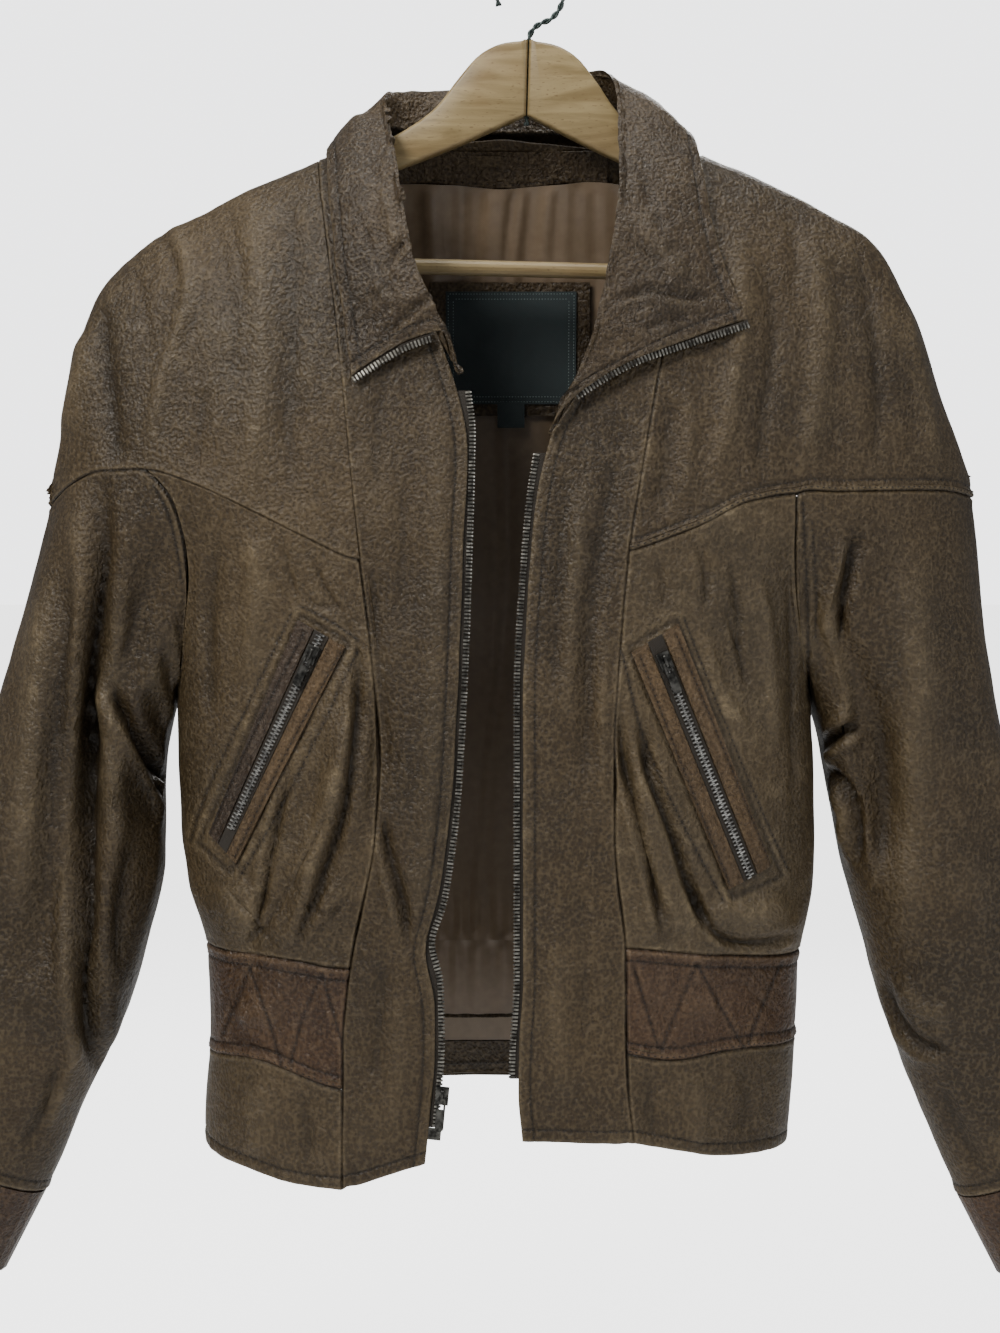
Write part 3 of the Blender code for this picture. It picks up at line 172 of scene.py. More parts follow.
def makeHideGroup():
    # hide: pebble grain, crackle lines, cloudy dye and blotches for rubbed wear and painted highlight, as
    # masks and one height
    group, given, out = newGroup(
        "wornHide",
        [("Place", "Vector", None), ("Grain", "Float", 480.0), ("Crinkle", "Float", 60.0),
         ("Crackle", "Float", 0.5)],
        [("Height", "Float"), ("Clouds", "Float"), ("Cracks", "Float"), ("RubAndHighlight", "Float"), ("Grain", "Float")])
    place = given["Place"]
    pebbles = addNode(group, "ShaderNodeTexVoronoi", {"Vector": place, "Scale": given["Grain"],
                                                      "Randomness": 1.0},
                      feature="SMOOTH_F1").outputs["Distance"]
    upright = addNode(group, "ShaderNodeMapping", {"Vector": place, "Scale": (1.0, 1.0, 0.38)}).outputs[0]
    wrinkles = noiseNode(group, upright, given["Grain"], 4.0, 0.62, 0.7)
    grain = mathNode(group, "ADD", mathNode(group, "MULTIPLY", pebbles, 0.9),
                     mathNode(group, "MULTIPLY", wrinkles, 0.75))
    warp = addNode(group, "ShaderNodeTexNoise", {"Vector": place, "Scale": 45.0, "Detail": 2.0})
    shift = addNode(group, "ShaderNodeVectorMath", {0: warp.outputs["Color"], 1: (0.5, 0.5, 0.5)},
                    operation="SUBTRACT").outputs[0]
    shift = addNode(group, "ShaderNodeVectorMath", {0: shift, "Scale": 0.02}, operation="SCALE").outputs[0]
    bent = addNode(group, "ShaderNodeVectorMath", {0: place, 1: shift}, operation="ADD").outputs[0]
    cells = addNode(group, "ShaderNodeTexVoronoi", {"Vector": bent, "Scale": given["Crinkle"]},
                    feature="DISTANCE_TO_EDGE").outputs["Distance"]
    smallCells = addNode(group, "ShaderNodeTexVoronoi",
                         {"Vector": bent, "Scale": mathNode(group, "MULTIPLY", given["Crinkle"], 3.1)},
                         feature="DISTANCE_TO_EDGE").outputs["Distance"]
    where = rangeNode(group, noiseNode(group, place, 13.0, 2.0), 0.46, 0.66)
    lines = rangeNode(group, cells, 0.0, 0.045, 1.0, 0.0)
    fine = rangeNode(group, smallCells, 0.0, 0.09, 1.0, 0.0)
    cracks = mathNode(group, "MULTIPLY", mathNode(group, "ADD", mathNode(group, "MULTIPLY", lines, where),
                                                  mathNode(group, "MULTIPLY", fine, 0.35)),
                      given["Crackle"], clamp=True)
    creases = addNode(group, "ShaderNodeTexNoise", {"Vector": bent, "Scale": given["Crinkle"],
                                                    "Detail": 4.0, "Roughness": 0.6,
                                                    "Distortion": 0.6}).outputs["Fac"]
    height = mathNode(group, "ADD", mathNode(group, "MULTIPLY", grain, 0.5),
                      mathNode(group, "MULTIPLY", creases, 0.8))
    height = mathNode(group, "SUBTRACT", height, mathNode(group, "MULTIPLY", cracks, 0.55))
    clouds = noiseNode(group, place, 9.0, 5.0, 0.6, 0.3)
    rubAndHighlight = rangeNode(group, noiseNode(group, place, 70.0, 6.0, 0.72, 0.4), 0.5, 0.74)
    for label, value in (("Height", height), ("Clouds", clouds), ("Cracks", cracks), ("RubAndHighlight", rubAndHighlight),
                         ("Grain", rangeNode(group, grain, 0.3, 1.1))):
        group.links.new(value, out[label])
    return group


def makeWeaveGroup():
    # plain weave: two sets of threads in the X and Z directions
    group, given, out = newGroup("threadWeave", [("Place", "Vector", None), ("Threads", "Float", 2400.0)],
                                 [("Height", "Float"), ("Shade", "Float")])
    parts = addNode(group, "ShaderNodeSeparateXYZ", {0: given["Place"]}).outputs
    across = mathNode(group, "SINE", mathNode(group, "MULTIPLY", parts["X"], given["Threads"]))
    down = mathNode(group, "SINE", mathNode(group, "MULTIPLY", parts["Z"], given["Threads"]))
    height = mathNode(group, "MULTIPLY", across, down)
    group.links.new(rangeNode(group, height, -1.0, 1.0), out["Height"])
    group.links.new(noiseNode(group, given["Place"], 160.0, 4.0), out["Shade"])
    return group


hideGroup, weaveGroup = makeHideGroup(), makeWeaveGroup()


def newFinish(name):
    finish = bpy.data.materials.new(name)
    finish.use_nodes = True
    tree = finish.node_tree
    shader = tree.nodes["Principled BSDF"]
    place = tree.nodes.new("ShaderNodeTexCoord").outputs["Object"]
    return finish, tree, shader, place


def groupNode(tree, group, inputs):
    node = addNode(tree, "ShaderNodeGroup", node_tree=group)
    for key, value in inputs.items():
        if hasattr(value, "is_linked"):
            tree.links.new(value, node.inputs[key])
        else:
            node.inputs[key].default_value = value
    return node.outputs


def bumpInto(tree, shader, height, depth, strength):
    bump = addNode(tree, "ShaderNodeBump", {"Height": height, "Distance": depth, "Strength": strength})
    tree.links.new(bump.outputs["Normal"], shader.inputs["Normal"])


hides = {  # dark and mid dye, dark also as painted shade, pale for rubbed wear and painted highlight, crinkle size, crackle share, grain, roughness, bump
    "jacketHide": {"dark": (0.0085, 0.0052, 0.0020), "mid": (0.052, 0.0335, 0.0140),
                   "pale": (0.23, 0.175, 0.100), "crinkle": 120.0, "crackle": 0.2, "grain": 0.52,
                   "rough": 0.45, "bump": 0.85},
    "collarHide": {"dark": (0.0070, 0.0042, 0.0017), "mid": (0.047, 0.0295, 0.0130),
                   "pale": (0.21, 0.160, 0.095), "crinkle": 100.0, "crackle": 0.32, "grain": 0.54,
                   "rough": 0.41, "bump": 1.0},
    "bandHide": {"dark": (0.0085, 0.0038, 0.0015), "mid": (0.054, 0.0270, 0.0115),
                 "pale": (0.24, 0.160, 0.09), "crinkle": 115.0, "crackle": 0.28, "grain": 0.50,
                 "rough": 0.37, "bump": 1.0},
    "weltHide": {"dark": (0.020, 0.0110, 0.0044), "mid": (0.098, 0.060, 0.0265), "pale": (0.30, 0.21, 0.12),
                 "crinkle": 190.0, "crackle": 0.45, "grain": 0.45, "rough": 0.46, "bump": 1.0},
    "darkWelt": {"dark": (0.009, 0.0052, 0.0028), "mid": (0.042, 0.026, 0.0150), "pale": (0.24, 0.19, 0.14),
                 "crinkle": 190.0, "crackle": 0.4, "grain": 0.4, "rough": 0.34, "bump": 1.0},
}


def makeHide(name):
    use = hides[name]
    finish, tree, shader, place = newFinish(name)
    hide = groupNode(tree, hideGroup, {"Place": place, "Crinkle": use["crinkle"], "Crackle": use["crackle"]})
    worn = addNode(tree, "ShaderNodeAttribute", attribute_name="worn").outputs["Fac"]
    shade = addNode(tree, "ShaderNodeAttribute", attribute_name="shade").outputs["Fac"]
    clouds = rangeNode(tree, hide["Clouds"], 0.3, 0.72)
    base = mixColour(tree, clouds, (*use["dark"], 1), (*use["mid"], 1))
    base = mixColour(tree, 0.4, base, (*use["mid"], 1))
    pits = rangeNode(tree, hide["Grain"], 0.0, 0.6, use["grain"], 0.0)
    base = mixColour(tree, pits, base, (*use["dark"], 1))
    tops = rangeNode(tree, hide["Grain"], 0.55, 1.0, 0.0, use["grain"] * 0.3)
    base = mixColour(tree, tops, base, (*use["pale"], 1))
    # paleness attribute: rubbed wear along the edges plus painted highlight on ridges, raised cockles and
    # panels painted paler
    paleShare = mathNode(tree, "MULTIPLY", worn, mathNode(tree, "ADD", mathNode(
        tree, "MULTIPLY", hide["RubAndHighlight"], 0.75), 0.3), clamp=True)
    base = mixColour(tree, paleShare, base, (*use["pale"], 1))
    # painted shade in troughs, seam grooves and darker panels
    base = mixColour(tree, mathNode(tree, "MULTIPLY", shade, 0.85, clamp=True), base, (*use["dark"], 1))
    base = mixColour(tree, mathNode(tree, "MULTIPLY", hide["Cracks"], 0.6), base,
                     (*[v * 0.6 for v in use["dark"]], 1))
    tree.links.new(base, shader.inputs["Base Color"])
    rough = mathNode(tree, "ADD", rangeNode(tree, hide["Clouds"], 0.25, 0.75, -0.07, 0.07),
                     use["rough"])
    rough = mathNode(tree, "ADD", rough, mathNode(tree, "MULTIPLY", hide["Cracks"], 0.2))
    tree.links.new(rough, shader.inputs["Roughness"])
    shader.inputs["Specular IOR Level"].default_value = 0.32
    bumpInto(tree, shader, hide["Height"], 0.0023, use["bump"])
    return finish


def makeCloth(name, dark, light, threads, rough, sheen, bump, depth=0.00018):
    finish, tree, shader, place = newFinish(name)
    weave = groupNode(tree, weaveGroup, {"Place": place, "Threads": threads})
    share = mathNode(tree, "ADD", mathNode(tree, "MULTIPLY", weave["Height"], 0.35),
                     mathNode(tree, "MULTIPLY", weave["Shade"], 0.65))
    tree.links.new(mixColour(tree, share, (*dark, 1), (*light, 1)), shader.inputs["Base Color"])
    tree.links.new(rangeNode(tree, weave["Shade"], 0.2, 0.8, rough - 0.06, rough + 0.08),
                   shader.inputs["Roughness"])
    shader.inputs["Sheen Weight"].default_value = sheen
    shader.inputs["Sheen Roughness"].default_value = 0.4
    bumpInto(tree, shader, weave["Height"], depth, bump)
    return finish


def makeMetal(name, dark, light, rough, metallic=1.0):
    finish, tree, shader, place = newFinish(name)
    worn = noiseNode(tree, place, 260.0, 3.0, 0.55)
    spots = noiseNode(tree, place, 90.0, 4.0, 0.6)
    share = rangeNode(tree, worn, 0.3, 0.75)
    tree.links.new(mixColour(tree, share, (*dark, 1), (*light, 1)), shader.inputs["Base Color"])
    tree.links.new(rangeNode(tree, spots, 0.3, 0.7, rough - 0.1, rough + 0.14), shader.inputs["Roughness"])
    shader.inputs["Metallic"].default_value = metallic
    bumpInto(tree, shader, worn, 0.00005, 0.2)
    return finish


def makeWood():
    finish, tree, shader, place = newFinish("beech")
    stretched = addNode(tree, "ShaderNodeMapping", {"Vector": place, "Rotation": (0, 0.5, 0),
                                                    "Scale": (14.0, 60.0, 120.0)}).outputs[0]
    grain = noiseNode(tree, stretched, 1.0, 6.0, 0.6, 0.8)
    tone = mixColour(tree, rangeNode(tree, grain, 0.3, 0.72), (0.165, 0.115, 0.047, 1),
                     (0.30, 0.225, 0.105, 1))
    flecked = addNode(tree, "ShaderNodeMapping", {"Vector": place, "Rotation": (0, 0.5, 0),
                                                  "Scale": (260.0, 700.0, 900.0)}).outputs[0]
    flecks = rangeNode(tree, noiseNode(tree, flecked, 1.0, 1.0, 0.5), 0.64, 0.74)
    tone = mixColour(tree, mathNode(tree, "MULTIPLY", flecks, 0.65), tone, (0.12, 0.07, 0.028, 1))
    tone = mixColour(tree, rangeNode(tree, noiseNode(tree, place, 22.0, 3.0), 0.42, 0.75, 0.0, 0.4), tone,
                     (0.20, 0.125, 0.05, 1))
    tree.links.new(tone, shader.inputs["Base Color"])
    tree.links.new(rangeNode(tree, grain, 0.3, 0.7, 0.36, 0.52), shader.inputs["Roughness"])
    bumpInto(tree, shader, grain, 0.0003, 0.3)
    return finish


def makeThread(name, dark, light):
    finish, tree, shader, place = newFinish(name)
    tone = mixColour(tree, noiseNode(tree, place, 900.0, 2.0), (*dark, 1), (*light, 1))
    tree.links.new(tone, shader.inputs["Base Color"])
    shader.inputs["Roughness"].default_value = 0.7
    bumpInto(tree, shader, noiseNode(tree, place, 2600.0, 2.0), 0.00015, 0.5)
    return finish


finishes = {name: makeHide(name) for name in hides}
finishes["satin"] = makeCloth("satin", (0.085, 0.057, 0.034), (0.20, 0.142, 0.088), 5200.0, 0.36, 0.25, 0.18)
finishes["tape"] = makeCloth("tape", (0.008, 0.006, 0.004), (0.030, 0.022, 0.014), 3800.0, 0.85, 0.15, 0.6)
finishes["labelCloth"] = makeCloth("labelCloth", (0.006, 0.011, 0.012), (0.022, 0.036, 0.038), 4200.0, 0.7,
                                   0.2, 0.7)
finishes["teethMetal"] = makeMetal("teethMetal", (0.06, 0.057, 0.05), (0.40, 0.385, 0.34), 0.34)
finishes["brightTeeth"] = makeMetal("brightTeeth", (0.16, 0.155, 0.145), (0.62, 0.61, 0.58), 0.32)
finishes["zipMetal"] = makeMetal("zipMetal", (0.028, 0.027, 0.025), (0.16, 0.155, 0.14), 0.34)
finishes["wire"] = makeMetal("wire", (0.030, 0.042, 0.040), (0.12, 0.15, 0.14), 0.42, 0.85)
finishes["beech"] = makeWood()
finishes["thread"] = makeThread("thread", (0.003, 0.002, 0.0012), (0.016, 0.010, 0.006))
finishes["paleThread"] = makeThread("paleThread", (0.10, 0.14, 0.135), (0.26, 0.33, 0.32))
print("finishes ready:", len(finishes))

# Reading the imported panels: each is a thin solid whose outer face is a grid of points


def weldedMesh(node):
    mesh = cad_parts[node].data
    co = np.empty(len(mesh.vertices) * 3)
    mesh.vertices.foreach_get("co", co)
    corner = np.empty(len(mesh.loops), int)
    mesh.loops.foreach_get("vertex_index", corner)
    co = co.reshape(-1, 3)
    _, first, index = np.unique(np.round(co * 1e5).astype(int), axis=0, return_index=True,
                                return_inverse=True)
    faces = index.reshape(-1)[corner].reshape(-1, 3)
    good = (faces[:, 0] != faces[:, 1]) & (faces[:, 1] != faces[:, 2]) & (faces[:, 0] != faces[:, 2])
    return co[first], faces[good]


def outerFaces(points, faces, facing):
    # the solid splits at its sharp rims; the outer side faces "facing", or is the larger one
    a, b, c = (points[faces[:, k]] for k in range(3))
    cross = np.cross(b - a, c - a)
    area = np.linalg.norm(cross, axis=1)
    normal = cross / np.maximum(area, 1e-15)[:, None]
    beside = {}
    for f, (i, j, k) in enumerate(faces):
        for e in ((i, j), (j, k), (k, i)):
            beside.setdefault((min(e), max(e)), []).append(f)
    pairs = [pair for pair in beside.values() if len(pair) == 2]
    shortest = np.min([np.linalg.norm(a - b, axis=1), np.linalg.norm(b - c, axis=1),
                       np.linalg.norm(c - a, axis=1)], axis=0)
    for bend, short in [(b, s) for s in (0, 2.2, 3.0, 3.8) for b in (0.3, 0.45, 0.6, 0.7, 0.1, -0.2, -0.6)]:
        links = [[] for _ in faces]
        for one, other in pairs:
            if normal[one] @ normal[other] > bend and min(shortest[one], shortest[other]) > short * mm:
                links[one].append(other)
                links[other].append(one)
        group = np.full(len(faces), -1)
        count = 0
        for start in range(len(faces)):
            if group[start] < 0:
                group[start], todo = count, [start]
                while todo:
                    for other in links[todo.pop()]:
                        if group[other] < 0:
                            group[other] = count
                            todo.append(other)
                count += 1
        sides = np.argsort([area[group == k].sum() for k in range(count)])[-2:]
        chosen = sides[-1]
        if facing is not None:
            chosen = max(sides, key=lambda k: cross[group == k].sum(0) @ np.array(facing))
        own = np.unique(faces[group == chosen])
        if 2 * len(own) == len(points):
            whole = np.isin(faces, own).all(axis=1)
            return faces[whole], normal[whole]
    raise ValueError("no outer side found")


def marchGrid(points, faces, closed):
    # walks the sheet cell by cell and returns the vertex numbers as rows and columns
    across = {}
    near = {}
    for i, j, k in faces:
        for a, b, c in ((i, j, k), (j, k, i), (k, i, j)):
            across.setdefault((min(a, b), max(a, b)), []).append(c)
            near.setdefault(a, []).append((b, c))
    rim = {}
    for (a, b), others in across.items():
        if len(others) == 1:
            rim.setdefault(a, []).append(b)
            rim.setdefault(b, []).append(a)

    def walk(start):
        loop, last, here = [start], None, start
        while True:
            ahead = [v for v in rim[here] if v != last]
            last, here = here, ahead[0]
            if here == start:
                return loop
            loop.append(here)

    def facing(a, b, used):
        return [v for v in across[(min(a, b), max(a, b))] if v not in used]

    def corner(p00, p01, p10, used):
        if (min(p01, p10), max(p01, p10)) in across and p10 in facing(p00, p01, used):
            return [v for v in across[(min(p01, p10), max(p01, p10))] if v != p00][0]
        shared = set(facing(p00, p01, used)) & set(across[(min(p00, p10), max(p00, p10))])
        return shared.pop()

    total = len(set(faces.ravel()))
    if closed:
        loops, left = [], set(rim)
        while left:
            loops.append(walk(min(left)))
            left -= set(loops[-1])
        row = max(loops, key=lambda loop: points[loop, 2].mean())
        width = len(row)
        rows, used = [row], set(row)

        def fan(k):
            # vertices round row[k] on its lower side, from the next point to the one before
            here, behind = row[k], row[k - 1]
            seen = [row[(k + 1) % width]]
            while seen[-1] != behind:
                seen.append([v for b, c in near[here] for v, w in ((b, c), (c, b)) if w == seen[-1]
                             and v not in seen and (v not in used or v == behind)][0])
            return seen

        while len(rows) < total // width:
            fans = [fan(k) for k in range(width)]
            k = next((k for k in range(width) if len(fans[k]) in (3, 5)), 0)
            if len(fans[k]) in (3, 5):
                below = {k: fans[k][len(fans[k]) // 2]}
            else:
                spans = [sum(np.linalg.norm(points[fans[k][s]] - points[row[k]]) for k in range(width))
                         for s in (1, 2)]
                below = {k: fans[k][1 + int(np.argmin(spans))]}
            at = k
            for _ in range(width - 1):
                nextAt = (at + 1) % width
                below[nextAt] = corner(row[at], row[nextAt], below[at], used)
                at = nextAt
            row = [below[k] for k in range(width)]
            rows.append(row)
            used |= set(row)
        return np.array(rows)
    loop = walk(min(rim))
    half = len(loop) // 2 + 2
    root = math.sqrt(max(half * half - 4 * total, 0))
    best = None
    for width in {round((half + root) / 2), round((half - root) / 2)}:
        height = half - width
        for shift in range(len(loop)):
            spots = [shift, shift + width - 1, shift + half - 2, shift + half - 2 + width - 1]
            score = 0
            for s in spots:
                here = points[loop[s % len(loop)]]
                a = points[loop[(s + 1) % len(loop)]] - here
                b = points[loop[s - 1 - len(loop) if s >= len(loop) else s - 1]] - here
                score -= (a @ b) / (np.linalg.norm(a) * np.linalg.norm(b))
                score += 0.0 if len(near[loop[s % len(loop)]]) <= 2 else 9.0
            if best is None or score < best[0] - 1e-9:
                best = (score, shift, width, height)
    _, shift, width, height = best
    loop = loop[shift:] + loop[:shift]
    top = loop[:width]
    left = [loop[0]] + [loop[-k] for k in range(1, height)]
    rows, used = [top], set(top)
    for r in range(1, height):
        row = [left[r]]
        for c in range(1, width):
            row.append(corner(rows[-1][c - 1], rows[-1][c], row[-1], used))
        rows.append(row)
        used |= set(row)
    return np.array(rows)


def refined(grid, times, closed):
    # a smooth curve through the points along the first axis, "times" steps for each span
    if closed:
        long = np.concatenate([grid[-1:], grid, grid[:2]])
    else:
        long = np.concatenate([2 * grid[:1] - grid[1:2], grid, 2 * grid[-1:] - grid[-2:-1]])
    step = np.maximum(np.linalg.norm(np.diff(long, axis=0), axis=-1, keepdims=True), 1e-9)
    slope = (np.diff(long, axis=0) / step)
    tangent = (slope[:-1] * step[1:] + slope[1:] * step[:-1]) / (step[1:] + step[:-1])
    start, end = long[1:-2], long[2:-1]
    span = step[1:-1]
    begin, finish = tangent[:-1] * span, tangent[1:] * span
    parts = []
    for k in range(times):
        t = k / times
        parts.append(start * (1 + 2 * t) * (1 - t) ** 2 + begin * t * (1 - t) ** 2
                     + end * t * t * (3 - 2 * t) + finish * t * t * (t - 1))
    fine = np.stack(parts, axis=1).reshape(-1, *grid.shape[1:])
    return fine if closed else np.concatenate([fine, grid[-1:]])


def smoothStep(t):
    t = np.clip(t, 0, 1)
    return t * t * (3 - 2 * t)


seamLines = [0.0, 0.5, 1.1, 1.8, 2.7, 4.2, 6.0, 6.8, 7.5, 8.2, 9.2]  # mm in from a sewn edge


class Panel:
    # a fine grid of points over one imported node, with outward normals and distances to its edges
    def __init__(self, node, facing=(0, -1, 0), closed=False, cell=2.8):
        points, faces = weldedMesh(node)
        faces, faceNormals = outerFaces(points, faces, facing)
        numbers = marchGrid(points, faces, closed)
        grid = points[numbers]
        if not closed:
            down = (grid[-1] - grid[0]).mean(0)
            side = (grid[:, -1] - grid[:, 0]).mean(0)
            if abs(down[2]) < abs(side[2]):
                grid, numbers = grid.transpose(1, 0, 2), numbers.T
            upsideDown = grid[0, :, 2].mean() < grid[-1, :, 2].mean()
            if node == "collar":  # rows run from the neck seam to the outer edge
                if len(grid) > grid.shape[1]:
                    grid, numbers = grid.transpose(1, 0, 2), numbers.T
                upsideDown = grid[0, :, 0].std() > grid[-1, :, 0].std()
            if upsideDown:
                grid, numbers = grid[::-1], numbers[::-1]
            if grid[:, 0, 0].mean() > grid[:, -1, 0].mean():
                grid, numbers = grid[:, ::-1], numbers[:, ::-1]
        self.node, self.closed = node, closed
        self.setGrid(grid, cell)
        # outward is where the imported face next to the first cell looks
        i, j = numbers.shape[0] // 2, (numbers.shape[1] - 1) // 2
        ends = {numbers[i, j], numbers[i, j + 1], numbers[i - 1, j], numbers[i - 1, j + 1]}
        own = [n for f, n in zip(faces, faceNormals) if len(ends & set(f)) == 3][0]
        rough = np.cross(grid[i, j + 1] - grid[i, j], grid[i - 1, j] - grid[i, j])
        self.turn = 1 if rough @ own > 0 else -1

    def setGrid(self, grid, cell):
        rowStep = np.linalg.norm(np.diff(grid, axis=0), axis=-1).mean()
        colStep = np.linalg.norm(np.diff(grid, axis=1), axis=-1).mean()
        fine = refined(grid, max(2, round(rowStep / (cell * mm))), False)
        fine = refined(fine.transpose(1, 0, 2), max(2, round(colStep / (cell * mm))), self.closed)
        self.points = fine.transpose(1, 0, 2)

    def respace(self, edges, cell):
        # lines close together along the edges that have seams, even ones between
        for axis, first, last in ((0, "top", "foot"), (1, "left", "right")):
            if axis == 1 and self.closed:
                continue
            p = self.points if axis == 1 else self.points.transpose(1, 0, 2)
            run = np.concatenate([np.zeros((len(p), 1)),
                                  np.cumsum(np.linalg.norm(np.diff(p, axis=1), axis=-1), axis=1)], axis=1)
            start = np.array(seamLines if first in edges else [0.0]) * mm
            end = np.array(seamLines if last in edges else [0.0]) * mm
            middle = run[:, -1].mean() - start[-1] - end[-1]
            count = max(2, round(middle / (cell * mm)))
            lines = []
            for k in range(len(p)):
                squeeze = min(1.0, 0.8 * run[k, -1] / max(start[-1] + end[-1], 1e-9))
                spots = np.concatenate([start * squeeze, np.linspace(
                    start[-1] * squeeze, run[k, -1] - end[-1] * squeeze, count + 1)[1:-1],
                    (run[k, -1] - end * squeeze)[::-1]])
                lines.append(np.stack([np.interp(spots, run[k], p[k, :, a]) for a in range(3)], axis=-1))
            p = np.array(lines)
            self.points = p if axis == 1 else p.transpose(1, 0, 2)

    def normals(self):
        p = self.points
        if self.closed:
            across = np.roll(p, -1, 1) - np.roll(p, 1, 1)
        else:
            across = np.gradient(p, axis=1)
        down = np.gradient(p, axis=0)
        n = np.cross(across, -down) * self.turn
        return n / np.maximum(np.linalg.norm(n, axis=-1, keepdims=True), 1e-12)

    def edgeDistance(self, edge):
        # metres along the cloth to an edge: top, foot, left (low x) or right
        p = self.points
        axis = 0 if edge in ("top", "foot") else 1
        run = np.cumsum(np.linalg.norm(np.diff(p, axis=axis), axis=-1), axis=axis)
        zero = np.zeros_like(run.take([0], axis=axis))
        run = np.concatenate([zero, run], axis=axis)
        return run if edge in ("top", "left") else run.take([-1], axis=axis) - run

    def lineAt(self, edge, distance):
        # points and normals at a distance in from an edge
        run = self.edgeDistance(edge)
        p, n = self.points, self.normals()
        if edge in ("top", "foot"):
            run, p, n = run.T, p.transpose(1, 0, 2), n.transpose(1, 0, 2)
        if edge in ("foot", "right"):
            run, p, n = run[:, ::-1], p[:, ::-1], n[:, ::-1]
        line = [[np.interp(distance, run[k], p[k, :, a]) for a in range(3)] for k in range(len(p))]
        lean = [[np.interp(distance, run[k], n[k, :, a]) for a in range(3)] for k in range(len(p))]
        return np.array(line), np.array(lean)

    def push(self, height):
        self.points = self.points + self.normals() * height[..., None]


front, back = (0, -1, 0), (0, 1, 0)
panelTable = {}  # node: facing of its outer side, closed, cell in mm, how its edges are sewn
for side, outer, inner in (("r", "left", "right"), ("l", "right", "left")):
    panelTable.update({
        "front_center_" + side: (front, False, 2.6, {outer: "seam", inner: "front", "foot": "hem"}),
        "front_side_" + side: (front, False, 1.7,
                               {"top": "under", "foot": "under", inner: "seam", outer: "seam"}),
        "yoke_" + side: (front, False, 3.0, {"foot": "lap", inner: "seam"}),
        "waistband_" + side: (front, False, 1.7, {"top": "band", "foot": "band", inner: "seam"}),
        "hem_" + side: (front, False, 2.8, {"top": "under", "foot": "hem", inner: "seam"}),
        "sleeve_" + side: (None, True, 3.4, {"top": "under", "foot": "lap"}),
        "pocket_%s_welt_out" % side: (front, False, 1.3, {}),
        "pocket_%s_welt_in" % side: (front, False, 1.3, {}),
    })
panelTable.update({
    "back": (back, False, 3.6, {"top": "under", "foot": "under"}),
    "yoke_back": (back, False, 4.0, {"foot": "lap"}),
    "waistband_back": (back, False, 3.2, {"top": "band", "foot": "band"}),
    "hem_back": (back, False, 3.2, {"top": "under", "foot": "hem"}),
    "collar": (None, False, 2.4, {"foot": "hem", "left": "hem", "right": "hem", "top": "seam"}),
    "neck_facing": (back, False, 2.6, {}), "lining_back": (back, False, 2.8, {}),
    "lining_lower": (back, False, 2.8, {}), "hem_facing": (back, False, 3.0, {"foot": "hem"}),
    "label_patch": (back, False, 2.0, {}), "label": (back, False, 2.0, {}),
})
sewnShells = ["front_center_r", "front_center_l", "front_side_r", "front_side_l", "yoke_r", "yoke_l",
              "waistband_r", "waistband_l", "hem_r", "hem_l", "back", "yoke_back", "waistband_back",
              "hem_back", "sleeve_r", "sleeve_l"]
panels = {}
for node, (facing, closed, cell, edges) in panelTable.items():
    panels[node] = Panel(node, facing, closed, cell)

# Neighbouring panels are drawn together along their seams


def edgeLines(panel):
    p = panel.points
    lines = {"top": p[0], "foot": p[-1]}
    if not panel.closed:
        lines.update(left=p[:, 0], right=p[:, -1])
    return lines


def drawTogether():
    spots, owner = [], []
    for number, node in enumerate(sewnShells):
        for line in edgeLines(panels[node]).values():
            if panels[node].closed:
                line = np.concatenate([line, line[:1]])
            for a, b in zip(line[:-1], line[1:]):
                for t in np.arange(0, 1, 0.25):
                    spots.append(a + (b - a) * t)
                    owner.append(number)
    spots, owner = np.array(spots), np.array(owner)
    moves = {}
    for number, node in enumerate(sewnShells):
        trees = KDTree(int((owner != number).sum()))
        for k, spot in enumerate(spots[owner != number]):
            trees.insert(spot, k)
        trees.balance()
        for edge, line in edgeLines(panels[node]).items():
            shift = np.zeros_like(line)
            for k, point in enumerate(line):
                near, _, distance = trees.find(point)
                if 0.0003 < distance < 0.008:
                    shift[k] = (np.array(near) - point) * (0.5 + 0.00014 / distance)
            moves[node, edge] = shift
    for node in sewnShells:
        panel = panels[node]
        total, weight = np.zeros_like(panel.points), np.zeros(panel.points.shape[:2])
        nearest = np.full(panel.points.shape[:2], 1.0)
        for edge in edgeLines(panel):
            distance = panel.edgeDistance(edge)
            near = 1 / (distance + 0.0001) ** 2
            shift = moves[node, edge]
            shift = shift[None] if edge in ("top", "foot") else shift[:, None]
            total += shift * near[..., None]
            weight += near
            nearest = np.minimum(nearest, distance)
        fade = smoothStep(1 - nearest / 0.022)
        panel.points = panel.points + total * (fade / weight)[..., None]


drawTogether()
for node, (facing, closed, cell, edges) in panelTable.items():
    panels[node].respace(edges, cell)
    panels[node].shade = np.zeros(panels[node].points.shape[:2])
    panels[node].worn = np.zeros(panels[node].points.shape[:2])
print("panels read:", len(panels), "points:", sum(p.points.size // 3 for p in panels.values()))

# Creases, placed where they show from the front: 1000 wide and 1333 high, in those
# units across and down. Height in mm, above zero a ridge, below zero a trough.


picture = {"middle": (500, 560), "reach": 1.37 / 0.00062 * 0.949}  # reach: units for each unit of slope


def seenAt(points):
    eye, (across, down) = np.array(studio["cameraPlace"]), picture["middle"]
    run = points - eye
    return np.stack([across + run[..., 0] / run[..., 1] * picture["reach"],
                     down - run[..., 2] / run[..., 1] * picture["reach"]], axis=-1)


def sightLine(across, down):
    # direction in which the camera sees a place in the picture
    return Vector(((across - picture["middle"][0]) / picture["reach"], 1.0,
                   (picture["middle"][1] - down) / picture["reach"])).normalized()


